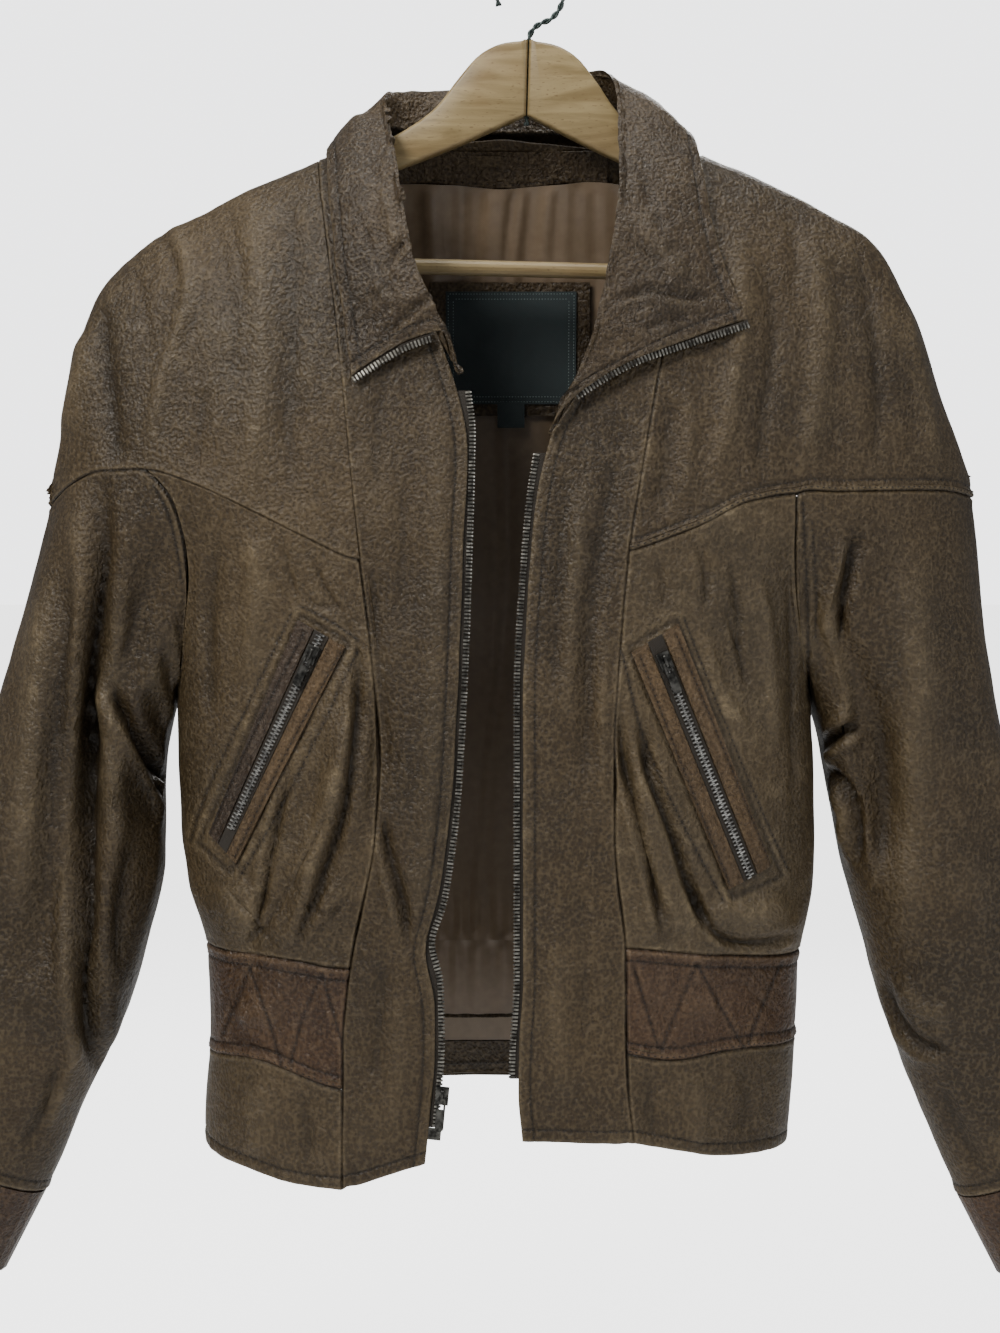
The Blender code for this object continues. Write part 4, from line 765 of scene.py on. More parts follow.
creases = {  # panels: profile, width in picture units, height in mm, path
    "yoke_r": [
        ("soft", 7, 2.6, [(170, 222), (182, 250), (189, 294), (172, 345), (156, 406), (150, 462)]),
        ("soft", 3.5, -1.6, [(158, 232), (166, 245), (173, 262), (178, 290)]),
        ("soft", 11, -3.0, [(101, 300), (104, 340), (106, 380), (112, 430), (118, 475)]),
        ("soft", 10, 2.4, [(84, 330), (76, 380), (66, 440)]),
        ("soft", 13, 2.4, [(247, 190), (256, 250), (262, 320), (256, 430), (245, 505)]),
        ("soft", 10, -2.2, [(288, 190), (292, 260), (292, 340), (288, 430), (296, 510)]),
        ("soft", 4.5, -1.3, [(210, 210), (219, 236), (224, 262), (234, 330), (226, 400)]),
        ("soft", 4, -1.0, [(224, 205), (232, 230), (240, 268), (244, 300)]),
        ("soft", 5, -1.1, [(134, 262), (140, 290), (146, 330), (142, 380)]),
        ("soft", 8, -1.6, [(206, 380), (200, 430), (196, 470)]),
    ],
    "yoke_l": [
        ("soft", 11, 2.4, [(738, 230), (742, 320), (730, 410), (716, 490)]),
        ("soft", 9, -2.0, [(768, 260), (774, 340), (764, 420), (760, 486)]),
        ("soft", 12, 2.2, [(812, 230), (822, 300), (818, 390), (806, 480)]),
        ("soft", 8, -1.8, [(858, 250), (872, 320), (880, 400), (874, 478)]),
        ("soft", 10, 2.0, [(902, 300), (922, 380), (936, 470)]),
        ("soft", 5, -1.2, [(790, 215), (796, 250), (794, 300)]),
        ("soft", 9, -2.0, [(672, 400), (668, 450), (660, 515)]),
        ("soft", 6, 1.3, [(690, 390), (690, 440), (686, 510)]),
    ],
    "front_side_r": [
        ("fold", 6.5, -4.2, [(358, 650), (359, 700), (354, 760), (343, 815), (322, 880), (292, 960)]),
        ("fold", 5.0, -2.8, [(292, 735), (284, 790), (272, 850), (262, 900), (251, 952)]),
        ("soft", 3.0, -1.6, [(334, 798), (310, 850), (282, 900), (250, 946)]),
        ("soft", 2.6, -1.3, [(222, 880), (244, 905), (262, 930), (278, 950)]),
        ("soft", 2.6, -1.2, [(276, 862), (292, 885), (306, 905), (326, 915), (352, 905)]),
        ("soft", 2.4, -1.1, [(352, 850), (330, 880), (304, 925), (296, 950)]),
        ("soft", 2.4, -1.0, [(240, 868), (254, 890), (250, 925), (252, 950)]),
        ("soft", 2.4, -1.0, [(356, 890), (338, 910), (316, 940), (306, 955)]),
        ("soft", 12, 2.6, [(256, 535), (257, 580), (254, 630), (246, 690)]),
        ("soft", 8, -2.0, [(216, 540), (210, 600), (208, 660), (212, 730)]),
        ("soft", 4, -1.4, [(282, 545), (288, 570), (296, 596)]),
        ("soft", 3, -1.2, [(312, 560), (326, 590), (344, 616)]),
        ("soft", 3, -1.3, [(344, 622), (354, 640), (362, 668)]),
        ("soft", 2.5, -1.1, [(306, 596), (318, 606), (336, 604)]),
        ("soft", 9, 2.4, [(335, 760), (318, 830), (292, 890)]),
        ("soft", 16, 3.2, [(232, 880), (240, 908), (262, 930)]),
        ("soft", 5, 1.4, [(268, 860), (256, 905), (246, 930)]),
    ],
    "front_side_l": [
        ("fold", 6.0, -4.4, [(614, 660), (620, 742), (636, 810), (652, 870), (668, 950)]),
        ("fold", 6.0, -4.6, [(640, 720), (650, 770), (666, 815), (686, 876), (710, 952)]),
        ("soft", 7, 2.4, [(630, 780), (650, 850), (672, 905), (690, 940)]),
        ("fold", 5.0, -3.2, [(688, 880), (704, 918), (726, 940), (760, 943), (800, 932)]),
        ("soft", 18, 4.4, [(716, 896), (750, 914), (790, 905)]),
        ("soft", 7, 2.2, [(706, 625), (713, 668), (730, 706), (750, 736)]),
        ("soft", 5, -2.2, [(732, 560), (739, 610), (742, 655), (750, 690)]),
        ("soft", 8, 2.4, [(756, 570), (766, 620), (772, 690), (776, 760)]),
        ("soft", 5, -1.8, [(698, 540), (707, 575), (706, 612)]),
        ("soft", 4, -1.3, [(659, 560), (663, 585), (666, 606)]),
        ("soft", 5, -1.6, [(790, 560), (792, 640), (794, 740), (796, 820)]),
        ("soft", 3, -1.4, [(726, 606), (736, 640), (740, 652)]),
    ],
    "front_center_r": [
        ("soft", 12, 2.0, [(436, 370), (440, 500), (434, 700), (424, 860), (414, 930)]),
        ("soft", 8, -2.0, [(374, 560), (374, 620), (378, 700), (380, 780)]),
        ("fold", 6, -3.4, [(383, 815), (388, 850), (400, 894), (410, 950)]),
        ("soft", 6, -1.6, [(400, 480), (404, 560), (404, 640)]),
        ("soft", 7, -1.6, [(384, 370), (378, 430), (376, 500)]),
        ("soft", 7, -1.8, [(384, 960), (378, 1020), (376, 1090)]),
        ("soft", 9, 1.8, [(400, 990), (398, 1060), (394, 1140)]),
    ],
    "front_center_l": [
        ("soft", 8, -2.4, [(622, 420), (604, 530), (592, 610), (588, 710), (584, 800)]),
        ("soft", 9, 2.0, [(586, 470), (572, 600), (566, 720)]),
        ("soft", 6, -1.8, [(572, 450), (562, 540), (556, 640), (552, 700)]),
        ("soft", 7, 1.6, [(606, 620), (604, 720), (606, 820)]),
        ("soft", 8, -1.6, [(576, 880), (584, 960), (586, 1040)]),
        ("soft", 9, 1.6, [(556, 930), (560, 1020), (560, 1110)]),
    ],
    "sleeve_r": [
        ("fold", 11, -9.0, [(101, 470), (101, 560), (95, 680), (88, 800), (86, 930),
                            (92, 1040), (104, 1080)]),
        ("soft", 9, 4.5, [(122, 570), (116, 650), (108, 694), (113, 745), (114, 810), (124, 880)]),
        ("fold", 7, -6.0, [(106, 676), (122, 710), (140, 742), (160, 772), (184, 778)]),
        ("soft", 9, 3.2, [(150, 660), (164, 700), (178, 745)]),
        ("fold", 7, -5.5, [(152, 765), (172, 800), (188, 826)]),
        ("soft", 8, 3.0, [(172, 630), (176, 660), (180, 690)]),
        ("soft", 14, 3.4, [(52, 560), (36, 680), (26, 800), (22, 930)]),
        ("soft", 8, -2.6, [(70, 560), (58, 700), (50, 850)]),
        ("soft", 9, -3.0, [(132, 830), (122, 900), (116, 980)]),
        ("soft", 6, -2.4, [(60, 1060), (46, 1110), (20, 1150)]),
        ("soft", 8, 2.4, [(80, 1030), (66, 1080), (44, 1130)]),
        ("behind", 10, -5.0, [(100, 520), (92, 640), (84, 780), (80, 900)]),
        ("behind", 7, -4.0, [(184, 640), (150, 690), (116, 720), (84, 724)]),
        ("behind", 14, 3.6, [(40, 560), (30, 720), (24, 900)]),
        ("behind", 8, -3.0, [(120, 930), (80, 960), (40, 960)]),
    ],
    "sleeve_l": [
        ("fold", 6, -5.0, [(860, 520), (850, 570), (841, 610), (838, 640)]),
        ("soft", 9, 3.6, [(822, 590), (836, 660), (846, 705), (838, 735)]),
        ("fold", 6, -6.0, [(806, 752), (824, 744), (842, 734), (860, 724)]),
        ("fold", 6, -5.0, [(812, 770), (834, 776), (852, 800), (857, 840), (858, 870)]),
        ("soft", 8, 2.6, [(830, 790), (838, 820), (840, 850)]),
        ("soft", 16, 3.2, [(912, 530), (918, 660), (910, 800), (906, 950)]),
        ("soft", 9, -2.8, [(876, 700), (884, 790), (880, 880)]),
        ("fold", 6, -4.0, [(882, 975), (898, 1020), (922, 1046), (950, 1052)]),
        ("soft", 8, 2.8, [(900, 980), (924, 1010), (954, 1016)]),
        ("soft", 8, -2.2, [(940, 1080), (960, 1130), (985, 1170)]),
        ("behind", 10, -5.0, [(870, 540), (884, 660), (892, 780), (898, 900)]),
        ("behind", 7, -4.0, [(806, 660), (836, 700), (870, 716), (900, 712)]),
        ("behind", 14, 3.6, [(940, 560), (944, 720), (950, 900)]),
        ("behind", 8, -3.0, [(884, 950), (920, 985), (960, 980)]),
    ],
    "waistband_r": [
        ("soft", 14, 2.4, [(236, 1010), (256, 1014), (276, 1020)]),
        ("soft", 3, -0.9, [(232, 1036), (262, 1050), (290, 1056)]),
        ("soft", 3, -0.7, [(238, 986), (246, 1000), (250, 1016)]),
    ],
    "waistband_l": [
        ("soft", 14, 2.2, [(680, 1010), (700, 1006), (720, 1004)]),
        ("soft", 4, -0.9, [(640, 1000), (660, 1012), (676, 1036)]),
        ("soft", 4, -0.9, [(742, 980), (760, 1000), (784, 1020)]),
    ],
    "hem_r": [
        ("soft", 12, 2.0, [(262, 1080), (258, 1120), (256, 1160)]),
        ("soft", 10, -2.0, [(300, 1090), (304, 1130), (306, 1170)]),
    ],
    "hem_l": [
        ("soft", 12, 2.0, [(694, 1070), (698, 1110), (696, 1150)]),
        ("soft", 10, -2.0, [(652, 1070), (650, 1110), (656, 1140)]),
        ("soft", 9, -1.6, [(744, 1060), (748, 1100), (742, 1140)]),
    ],
    "collar": [
        ("fold", 4, -2.2, [(384, 334), (404, 318), (420, 304), (438, 292)]),
        ("fold", 3.5, -1.8, [(388, 268), (396, 252), (408, 236)]),
        ("soft", 3, -1.2, [(352, 205), (366, 232), (372, 262)]),
        ("soft", 3, -1.2, [(350, 320), (366, 300), (380, 292), (392, 280)]),
        ("soft", 7, 1.8, [(380, 180), (390, 220), (396, 250)]),
        ("soft", 6, 1.6, [(372, 280), (390, 300), (412, 296)]),
        ("fold", 4, -2.0, [(612, 300), (650, 290), (684, 296), (716, 300)]),
        ("soft", 3.5, -1.4, [(640, 160), (652, 200), (668, 236)]),
        ("soft", 3.5, -1.4, [(624, 230), (646, 250), (672, 262)]),
        ("soft", 8, 2.0, [(640, 210), (660, 250), (690, 280)]),
        ("soft", 3, -1.2, [(640, 330), (664, 322), (690, 318)]),
    ],
    "yoke_back back": [
        ("behind", 16, 3.4, [(250, 200), (262, 330), (270, 470), (280, 640)]),
        ("behind", 12, -3.0, [(310, 230), (318, 360), (330, 520), (332, 700)]),
        ("behind", 16, 3.2, [(690, 240), (686, 380), (676, 520), (668, 700)]),
        ("behind", 12, -2.8, [(744, 230), (736, 360), (728, 520), (720, 660)]),
    ],
    "yoke_back": [
        ("behind", 10, -2.4, [(170, 250), (178, 330), (176, 430)]),
        ("behind", 10, -2.4, [(838, 250), (830, 340), (834, 430)]),
        ("behind", 14, 2.6, [(120, 300), (130, 380), (126, 460)]),
        ("behind", 14, 2.6, [(886, 300), (880, 380), (884, 460)]),
        ("behind", 9, 2.6, [(396, 215), (392, 300), (402, 400)]),
        ("behind", 9, 2.4, [(600, 215), (608, 310), (598, 410)]),
        ("behind", 7, -2.6, [(430, 220), (426, 300), (434, 390)]),
        ("behind", 8, 2.2, [(370, 190), (490, 212), (610, 192)]),
    ],
    "back": [
        ("behind", 7, -3.6, [(300, 720), (312, 800), (322, 880), (330, 945)]),
        ("behind", 7, -3.8, [(372, 700), (376, 790), (384, 870), (386, 945)]),
        ("behind", 7, -3.4, [(440, 740), (446, 820), (446, 945)]),
        ("behind", 7, -3.6, [(512, 720), (508, 820), (510, 945)]),
        ("behind", 7, -3.8, [(586, 700), (580, 800), (572, 945)]),
        ("behind", 7, -3.4, [(660, 730), (650, 830), (636, 945)]),
        ("behind", 8, -3.2, [(730, 740), (716, 840), (700, 945)]),
        ("behind", 9, 2.6, [(336, 740), (350, 840), (358, 935)]),
        ("behind", 9, 3.0, [(406, 700), (414, 810), (416, 935)]),
        ("behind", 8, 2.4, [(476, 760), (479, 850), (478, 935)]),
        ("behind", 9, 2.6, [(550, 740), (546, 840), (541, 935)]),
        ("behind", 9, 3.0, [(624, 710), (615, 820), (604, 935)]),
        ("behind", 8, 2.4, [(696, 760), (683, 850), (668, 935)]),
        ("behind", 9, 3.0, [(244, 560), (288, 640), (346, 706)]),
        ("behind", 9, 2.8, [(772, 570), (730, 650), (678, 712)]),
        ("behind", 7, -3.2, [(232, 590), (272, 668), (330, 730)]),
        ("behind", 7, -3.0, [(784, 600), (744, 680), (696, 736)]),
        ("behind", 20, 4.0, [(270, 880), (400, 905), (520, 908), (650, 905), (760, 880)]),
    ],
    "hem_back": [
        ("behind", 12, -2.6, [(330, 1050), (334, 1100), (330, 1150)]),
        ("behind", 14, 2.6, [(470, 1050), (474, 1100), (470, 1150)]),
        ("behind", 12, -2.6, [(610, 1050), (606, 1100), (612, 1150)]),
    ],
    "waistband_back": [
        ("behind", 3.5, -1.0, [(360, 980), (380, 1000), (384, 1030)]),
        ("behind", 3.5, -1.0, [(560, 1000), (580, 1010), (620, 1030)]),
    ],
}
pocketFrames = [[(301, 615), (349, 642), (230, 873), (199, 843)],
                [(629, 647), (677, 619), (782, 876), (733, 898)]]


def smoothPath(path, steps=6):
    path = np.array(path, float)
    return refined(path[:, None, :], steps, False)[:, 0]


def hump(d, centre, width):
    return np.exp(-((d - centre) / width) ** 2)


def humps(rows, d):
    return sum(size * hump(d, centre, width) for size, centre, width in rows)


def nearPath(spots, path):
    # distance to the path, the side it lies on and the share of the way along
    best = np.full(spots.shape[:-1], 1e9)
    side, along = np.ones_like(best), np.zeros_like(best)
    for k, (a, b) in enumerate(zip(path[:-1], path[1:])):
        run = b - a
        t = np.clip(((spots - a) @ run) / max(run @ run, 1e-12), 0, 1)
        gap = spots - (a + t[..., None] * run)
        distance = np.linalg.norm(gap, axis=-1)
        nearer = distance < best
        best = np.where(nearer, distance, best)
        side = np.where(nearer, np.sign(run[0] * gap[..., 1] - run[1] * gap[..., 0]), side)
        along = np.where(nearer, (k + t) / (len(path) - 1), along)
    return best, side, along


def pocketShare(spots):
    # 0 inside and near a pocket frame, 1 well away from it
    share = np.ones(spots.shape[:-1])
    for frameCorners in pocketFrames:
        corners = np.array(frameCorners, float)
        distance, _, _ = nearPath(spots, np.concatenate([corners, corners[:1]]))
        inside = np.ones(spots.shape[:-1], bool)
        for a, b in zip(corners, np.roll(corners, -1, 0)):
            inside &= (b - a)[0] * (spots - a)[..., 1] - (b - a)[1] * (spots - a)[..., 0] > 0
        share = np.minimum(share, smoothStep((np.where(inside, -distance, distance) + 1) / 16))
    return share


creaseScale = 1.3
foldShape = {  # lips beside a fold: share of its depth, place and width as shares of the fold's width
    "near": (0.55, 1.7, 1.2), "far": (0.25, -1.9, 1.4), "paleLip": (0.4, 1.7, 0.6)}
behindShape = {"ridge": 1.35, "trough": 0.15, "shade": 0.12, "worn": 0.2}  # the lining lies just inside


def addCreases():
    for nodes, profile, width, height, path in ((nodes, *row) for nodes in creases for row in creases[nodes]):
        for node in nodes.split():
            panel = panels[node]
            spots, n = seenAt(panel.points), panel.normals()
            distance, side, along = nearPath(spots, smoothPath(path))
            fade = smoothStep(np.minimum(along, 1 - along) * 4 + 0.15)
            toward = n[..., 1] if profile == "behind" else -n[..., 1]
            fade = fade * smoothStep(toward * 3 + (0.3 if node == "collar" else 0.15))
            if node.startswith("front_side"):
                fade = fade * pocketShare(spots)
            for edge in panelTable[node][3]:
                fade = fade * smoothStep(panel.edgeDistance(edge) / 0.009 + 0.12)
            shape = np.exp(-(distance / width) ** 2)
            tall = height * creaseScale
            if profile == "behind" and "sleeve" not in node:
                tall *= behindShape["ridge" if height > 0 else "trough"]
            rise = tall * shape
            if profile == "fold":
                across = distance * side / width
                lips = humps([foldShape["near"], foldShape["far"]], across)
                rise = rise - tall * lips
                # the raised near lip is painted paler: rubbed wear and painted highlight
                panel.worn = panel.worn + fade * humps([foldShape["paleLip"]], across)
            # painted shade along troughs; ridges painted paler as rubbed wear and painted highlight
            if tall < 0:
                depth = -height * creaseScale
                deep = min(0.9, depth * behindShape["shade"] if profile == "behind" else depth / 6)
                panel.shade = panel.shade + fade * deep * np.exp(
                    -(distance / (0.6 * width)) ** 2)
            else:
                rubAndHighlight = behindShape["worn"] if profile == "behind" else 0.5
                panel.worn = panel.worn + fade * min(rubAndHighlight, tall / 9) * shape
            panel.push(rise * fade * mm)


addCreases()

drawnStitches = [  # panels, path seen from the front
    (("waistband_r",), [(222, 1036), (236, 1002), (250, 968)]),
    (("waistband_r",), [(250, 968), (266, 1014), (282, 1066)]),
    (("waistband_r",), [(290, 1066), (302, 1020), (322, 974)]),
    (("waistband_r",), [(322, 974), (332, 1010), (344, 1050)]),
    (("waistband_l",), [(660, 1052), (678, 1008), (697, 964)]),
    (("waistband_l",), [(697, 964), (720, 1006), (744, 1048)]),
    (("waistband_l",), [(634, 968), (646, 1008), (658, 1046)]),
    (("waistband_l",), [(748, 1044), (764, 1004), (782, 962)]),
    (("front_side_r",), [(292, 612), (250, 700), (204, 800), (190, 842)]),
    (("front_side_r",), [(300, 606), (328, 620), (358, 640)]),
    (("front_side_r",), [(358, 650), (320, 730), (274, 820), (240, 876)]),
    (("front_side_l",), [(622, 652), (646, 744), (684, 826), (724, 902)]),
    (("front_side_l",), [(684, 618), (716, 700), (752, 788), (788, 870)]),
    (("sleeve_r",), [(152, 484), (166, 510), (176, 548), (181, 580)]),
    (("sleeve_r",), [(160, 482), (174, 508), (183, 545), (186, 570)]),
    (("sleeve_l", "front_side_l"), [(803, 500), (806, 560), (808, 630), (810, 700)]),
    (("sleeve_l",), [(812, 520), (816, 580), (816, 640)]),
    (("pocket_r_welt_in",), [(342, 650), (290, 745), (234, 858)]),
    (("pocket_r_welt_out",), [(304, 632), (250, 740), (208, 836)]),
    (("pocket_l_welt_in",), [(640, 656), (680, 760), (730, 884)]),
    (("pocket_l_welt_out",), [(676, 634), (720, 740), (774, 872)]),
]

# Sewn edges: rolled laps, grooves and the puckers of the stitch lines


edgeKinds = {  # humps of each kind of edge: height in mm or share, mm in from the edge, half width in mm
    "lap": {"rise": [(-0.5, 0, 0.5), (0.85, 1.9, 1.3), (0.35, 4.6, 2.0), (-0.45, 7.5, 0.95)],
            "pucker": 0.16, "worn": [(0.85, 1.7, 0.9)], "shade": [(0.9, 0, 0.45), (0.75, 7.5, 0.95)]},
    "under": {"rise": [(-1.0, 0, 1.3), (0.35, 2.8, 1.2)], "pucker": 0, "worn": [(0.45, 2.7, 0.8)],
              "shade": [(1.0, 0, 1.0)]},
    "seam": {"rise": [(-0.8, 0, 0.8), (0.4, 1.9, 1.2)], "pucker": 0.12, "worn": [(0.55, 1.7, 0.8)],
             "shade": [(0.95, 0, 0.7)]},
    "band": {"rise": [(-0.5, 0, 0.5), (0.8, 2.2, 1.5), (0.4, 5.0, 1.6), (-0.55, 7.5, 0.95)],
             "pucker": 0.2, "worn": [(0.7, 1.9, 1.0)], "shade": [(0.7, 0, 0.5), (0.8, 7.5, 0.95)]},
    "hem": {"rise": [(-0.5, 0, 0.6), (0.25, 3.5, 2.5), (-0.45, 7.5, 0.95)], "pucker": 0.2,
            "worn": [(0.55, 0.8, 0.9)], "shade": [(0.75, 7.5, 0.95)]},
    "front": {"rise": [(-0.5, 0, 0.6), (0.3, 3.5, 2.2), (-0.45, 7.5, 0.95)], "pucker": 0.12,
              "worn": [(0.5, 0.9, 0.9)], "shade": [(0.75, 7.5, 0.95)]},
    "pocket": {"rise": [(0.5, 7, 4), (-0.4, 1, 2.5)], "worn": [(0.3, 5, 3)], "shade": [(0.7, 0, 2.5)]},
    "drawn": {"rise": [(-0.45, 0, 2.0)], "worn": [(0.25, 4.5, 2.0)], "shade": [(0.8, 0, 1.7)]},
}
frontRub = 0.12


def sewEdges():
    for node, panel in panels.items():
        wide, long = panel.edgeDistance("left") / mm, panel.edgeDistance("top") / mm
        layers = {layer: np.zeros(panel.points.shape[:2]) for layer in ("rise", "worn", "shade")}

        def addHumps(kind, d, share=1.0):
            for layer in layers:
                layers[layer] += humps(edgeKinds[kind][layer], d) * share

        for edge, kind in panelTable[node][3].items():
            d = panel.edgeDistance(edge) / mm
            along = wide if edge in ("top", "foot") else long
            addHumps(kind, d)
            wave = np.sin(along * 0.62 + 1.7 * np.sin(along * 0.13))
            layers["rise"] += edgeKinds[kind]["pucker"] * wave * hump(d, 5.0, 3.0)
            if kind == "front":
                layers["worn"] += frontRub * smoothStep((7.5 - d) / 1.5)
        if node in ("front_side_r", "front_side_l"):
            for corners in pocketFrames:
                corners = np.array(corners + corners[:1], float)
                addHumps("pocket", nearPath(seenAt(panel.points), corners)[0])
        for nodes, path in drawnStitches:
            if node in nodes:
                front = panel.normals()[..., 1] < 0
                addHumps("drawn", nearPath(seenAt(panel.points), smoothPath(path))[0], front)
        # painted shade in the seam, stitch and pocket grooves; paler rubbed wear and painted highlight on the
        # raised rolls
        panel.shade += layers["shade"]
        panel.worn += layers["worn"]
        panel.push(layers["rise"] * mm)


def unevenHide():
    # slow waves and small cockles of worn hide, stronger on the collar and the bands
    for node, (slow, small) in unevenTable.items():
        panel = panels[node]
        upright = cockleScale["even"] if node in evenCockles else cockleScale["upright"]
        flat = panel.points.reshape(-1, 3)
        waves = np.array([noise.noise(Vector(p) * cockleScale["waves"]) for p in flat])
        scaled = flat * (cockleScale["even"], cockleScale["even"], upright) + (0, 0, cockleScale["shift"])
        cockles = np.array([noise.noise(Vector(p)) for p in scaled])
        rise = (waves * slow + cockles * small).reshape(panel.points.shape[:2])
        # raised cockles painted paler: rubbed wear and painted highlight
        panel.worn += np.clip(rise / max(slow + small, 1e-6) - 0.15, 0, 1) * 0.5
        # whole panels painted paler or darker as painted light and shade
        panel.worn += max(0, panelLightAndShade.get(node, 0))
        panel.shade += max(0, -panelLightAndShade.get(node, 0))
        panel.push(rise * mm)


cockleScale = {"waves": 26.0, "even": 120, "upright": 42, "shift": 5}
evenCockles = ("collar", "neck_facing", "label_patch")
panelLightAndShade = {  # painted light and shade for each panel: above zero painted paler, below zero painted darker
    "front_side_l": 0.30, "front_side_r": 0.10, "yoke_r": 0.08, "hem_r": 0.12, "hem_l": 0.08,
    "waistband_l": 0.06, "collar": 0.05, "front_center_r": -0.16, "sleeve_r": -0.10,
}
unevenTable = {node: (1.1, 0.42) for node in sewnShells}
unevenTable.update(collar=(1.6, 0.75), waistband_r=(0.9, 0.5), waistband_l=(0.9, 0.5),
                   waistband_back=(0.9, 0.5), neck_facing=(0.5, 0.7), label_patch=(0.2, 0.25),
                   label=(0.2, 0.12), hem_facing=(0.4, 0.3), pocket_r_welt_out=(0.1, 0.25),
                   pocket_r_welt_in=(0.1, 0.2), pocket_l_welt_out=(0.1, 0.2), pocket_l_welt_in=(0.1, 0.2))
sewEdges()
unevenHide()


def pleatLining():
    panel = panels["lining_back"]
    x = panel.points[..., 0] / mm
    top, foot = panel.edgeDistance("top") / mm, panel.edgeDistance("foot") / mm
    lean = x + 0.05 * top + 4 * np.sin(top * 0.02 + x * 0.05)
    wave = np.sin(lean * 0.24 + 1.6 * np.sin(lean * 0.07)) + 0.4 * np.sin(lean * 0.53 + 2.0)
    gather = np.sin(x * 0.55 + 1.3 * np.sin(x * 0.17)) * 1.5 * np.exp(-foot / 26)
    rise = wave * (1.2 * np.exp(-top / 80) + 0.3) + gather
    panel.push(np.clip(rise, -2.2, 2.0) * smoothStep(top / 9) * smoothStep(foot / 6) * mm)
    panel = panels["lining_lower"]
    x, top = panel.points[..., 0] / mm, panel.edgeDistance("top") / mm
    wave = np.sin(x * 0.42 + 1.1 * np.sin(x * 0.11))
    panel.push(wave * 1.3 * np.exp(-top / 30) * smoothStep(top / 5) * mm)


pleatLining()
print("creases:", sum(map(len, creases.values())), "seams and hide shaped")


def buildShell(panel, name, finish, wall):
    # the outer face as a quad mesh, its wall by Solidify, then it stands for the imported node
    p = panel.points
    rows, cols = p.shape[:2]
    number = np.arange(rows * cols).reshape(rows, cols)
    if panel.closed:
        nextCol = np.roll(number, -1, 1)
        a, b, c, d = number[:-1], nextCol[:-1], nextCol[1:], number[1:]
    else:
        a, b, c, d = number[:-1, :-1], number[:-1, 1:], number[1:, 1:], number[1:, :-1]
    faces = np.stack([a, d, c, b], axis=-1).reshape(-1, 4)
    if panel.turn < 0:
        faces = faces[:, ::-1]
    mesh = bpy.data.meshes.new(name)
    mesh.from_pydata(p.reshape(-1, 3).tolist(), [], faces.tolist())
    for label, values in (("worn", panel.worn), ("shade", panel.shade)):
        layer = mesh.attributes.new(label, "FLOAT", "POINT")
        layer.data.foreach_set("value", np.clip(values, 0, 1).astype(np.float32).ravel())
    thing = bpy.data.objects.new(name, mesh)
    bpy.context.scene.collection.objects.link(thing)
    bpy.context.view_layer.objects.active = thing
    thing.select_set(True)
    thicken = thing.modifiers.new("wall", "SOLIDIFY")
    thicken.thickness = wall
    thicken.offset = -1
    bpy.ops.object.modifier_apply(modifier="wall")
    thing.data.shade_smooth()
    bpy.ops.object.shade_smooth_by_angle(angle=math.radians(55))
    thing.select_set(False)
    thing.data.materials.append(finishes[finish])
    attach(thing, "jacket")
    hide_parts(panel.node)
    width = max(np.linalg.norm(np.diff(p, axis=1), axis=-1).sum(axis=1))
    if panel.closed:
        width += np.linalg.norm(p[:, 0] - p[:, -1], axis=-1).max()


shellTable = {  # node: finish, wall mm, slot
    "front_center_r": ("jacketHide", 1.5, "leather"), "front_center_l": ("jacketHide", 1.5, "leather"),
    "front_side_r": ("jacketHide", 1.5, "leather"), "front_side_l": ("jacketHide", 1.5, "leather"),
    "yoke_r": ("jacketHide", 1.5, "leather"), "yoke_l": ("jacketHide", 1.5, "leather"),
    "waistband_r": ("bandHide", 1.5, "band_leather"), "waistband_l": ("bandHide", 1.5, "band_leather"),
    "hem_r": ("jacketHide", 1.5, "leather"), "hem_l": ("jacketHide", 1.5, "leather"),
    "back": ("jacketHide", 1.5, "leather"), "yoke_back": ("jacketHide", 1.5, "leather"),
    "waistband_back": ("bandHide", 1.5, "band_leather"), "hem_back": ("jacketHide", 1.5, "leather"),
    "sleeve_r": ("jacketHide", 1.5, "leather"), "sleeve_l": ("jacketHide", 1.5, "leather"),
    "collar": ("collarHide", 2.4, "collar_leather"),
    "neck_facing": ("collarHide", 1.4, "collar_leather"), "lining_back": ("satin", 0.6, "satin"),
    "lining_lower": ("satin", 0.6, "satin"), "hem_facing": ("jacketHide", 1.4, "leather"),
    "label_patch": ("collarHide", 1.1, "collar_leather"), "label": ("labelCloth", 0.7, "label_cloth"),
    "pocket_r_welt_out": ("darkWelt", 1.2, "welt_leather"),
    "pocket_r_welt_in": ("weltHide", 1.2, "welt_leather"),
    "pocket_l_welt_out": ("weltHide", 1.2, "welt_leather"),
    "pocket_l_welt_in": ("weltHide", 1.2, "welt_leather"),
}
for node, (finish, wall, slotName) in shellTable.items():
    buildShell(panels[node], node + "_shell", finish, wall * mm)
print("shells built:", len(shellTable))


def newPiece(name, points, faces, finish, body="jacket", smooth=True):
    mesh = bpy.data.meshes.new(name)
    mesh.from_pydata([tuple(p) for p in points], [], [tuple(f) for f in faces])
    if smooth:
        mesh.shade_smooth()
    thing = bpy.data.objects.new(name, mesh)
    bpy.context.scene.collection.objects.link(thing)
    mesh.materials.append(finishes[finish])
    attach(thing, body)
    return thing


# Stitching: short spindles along lines on the shells


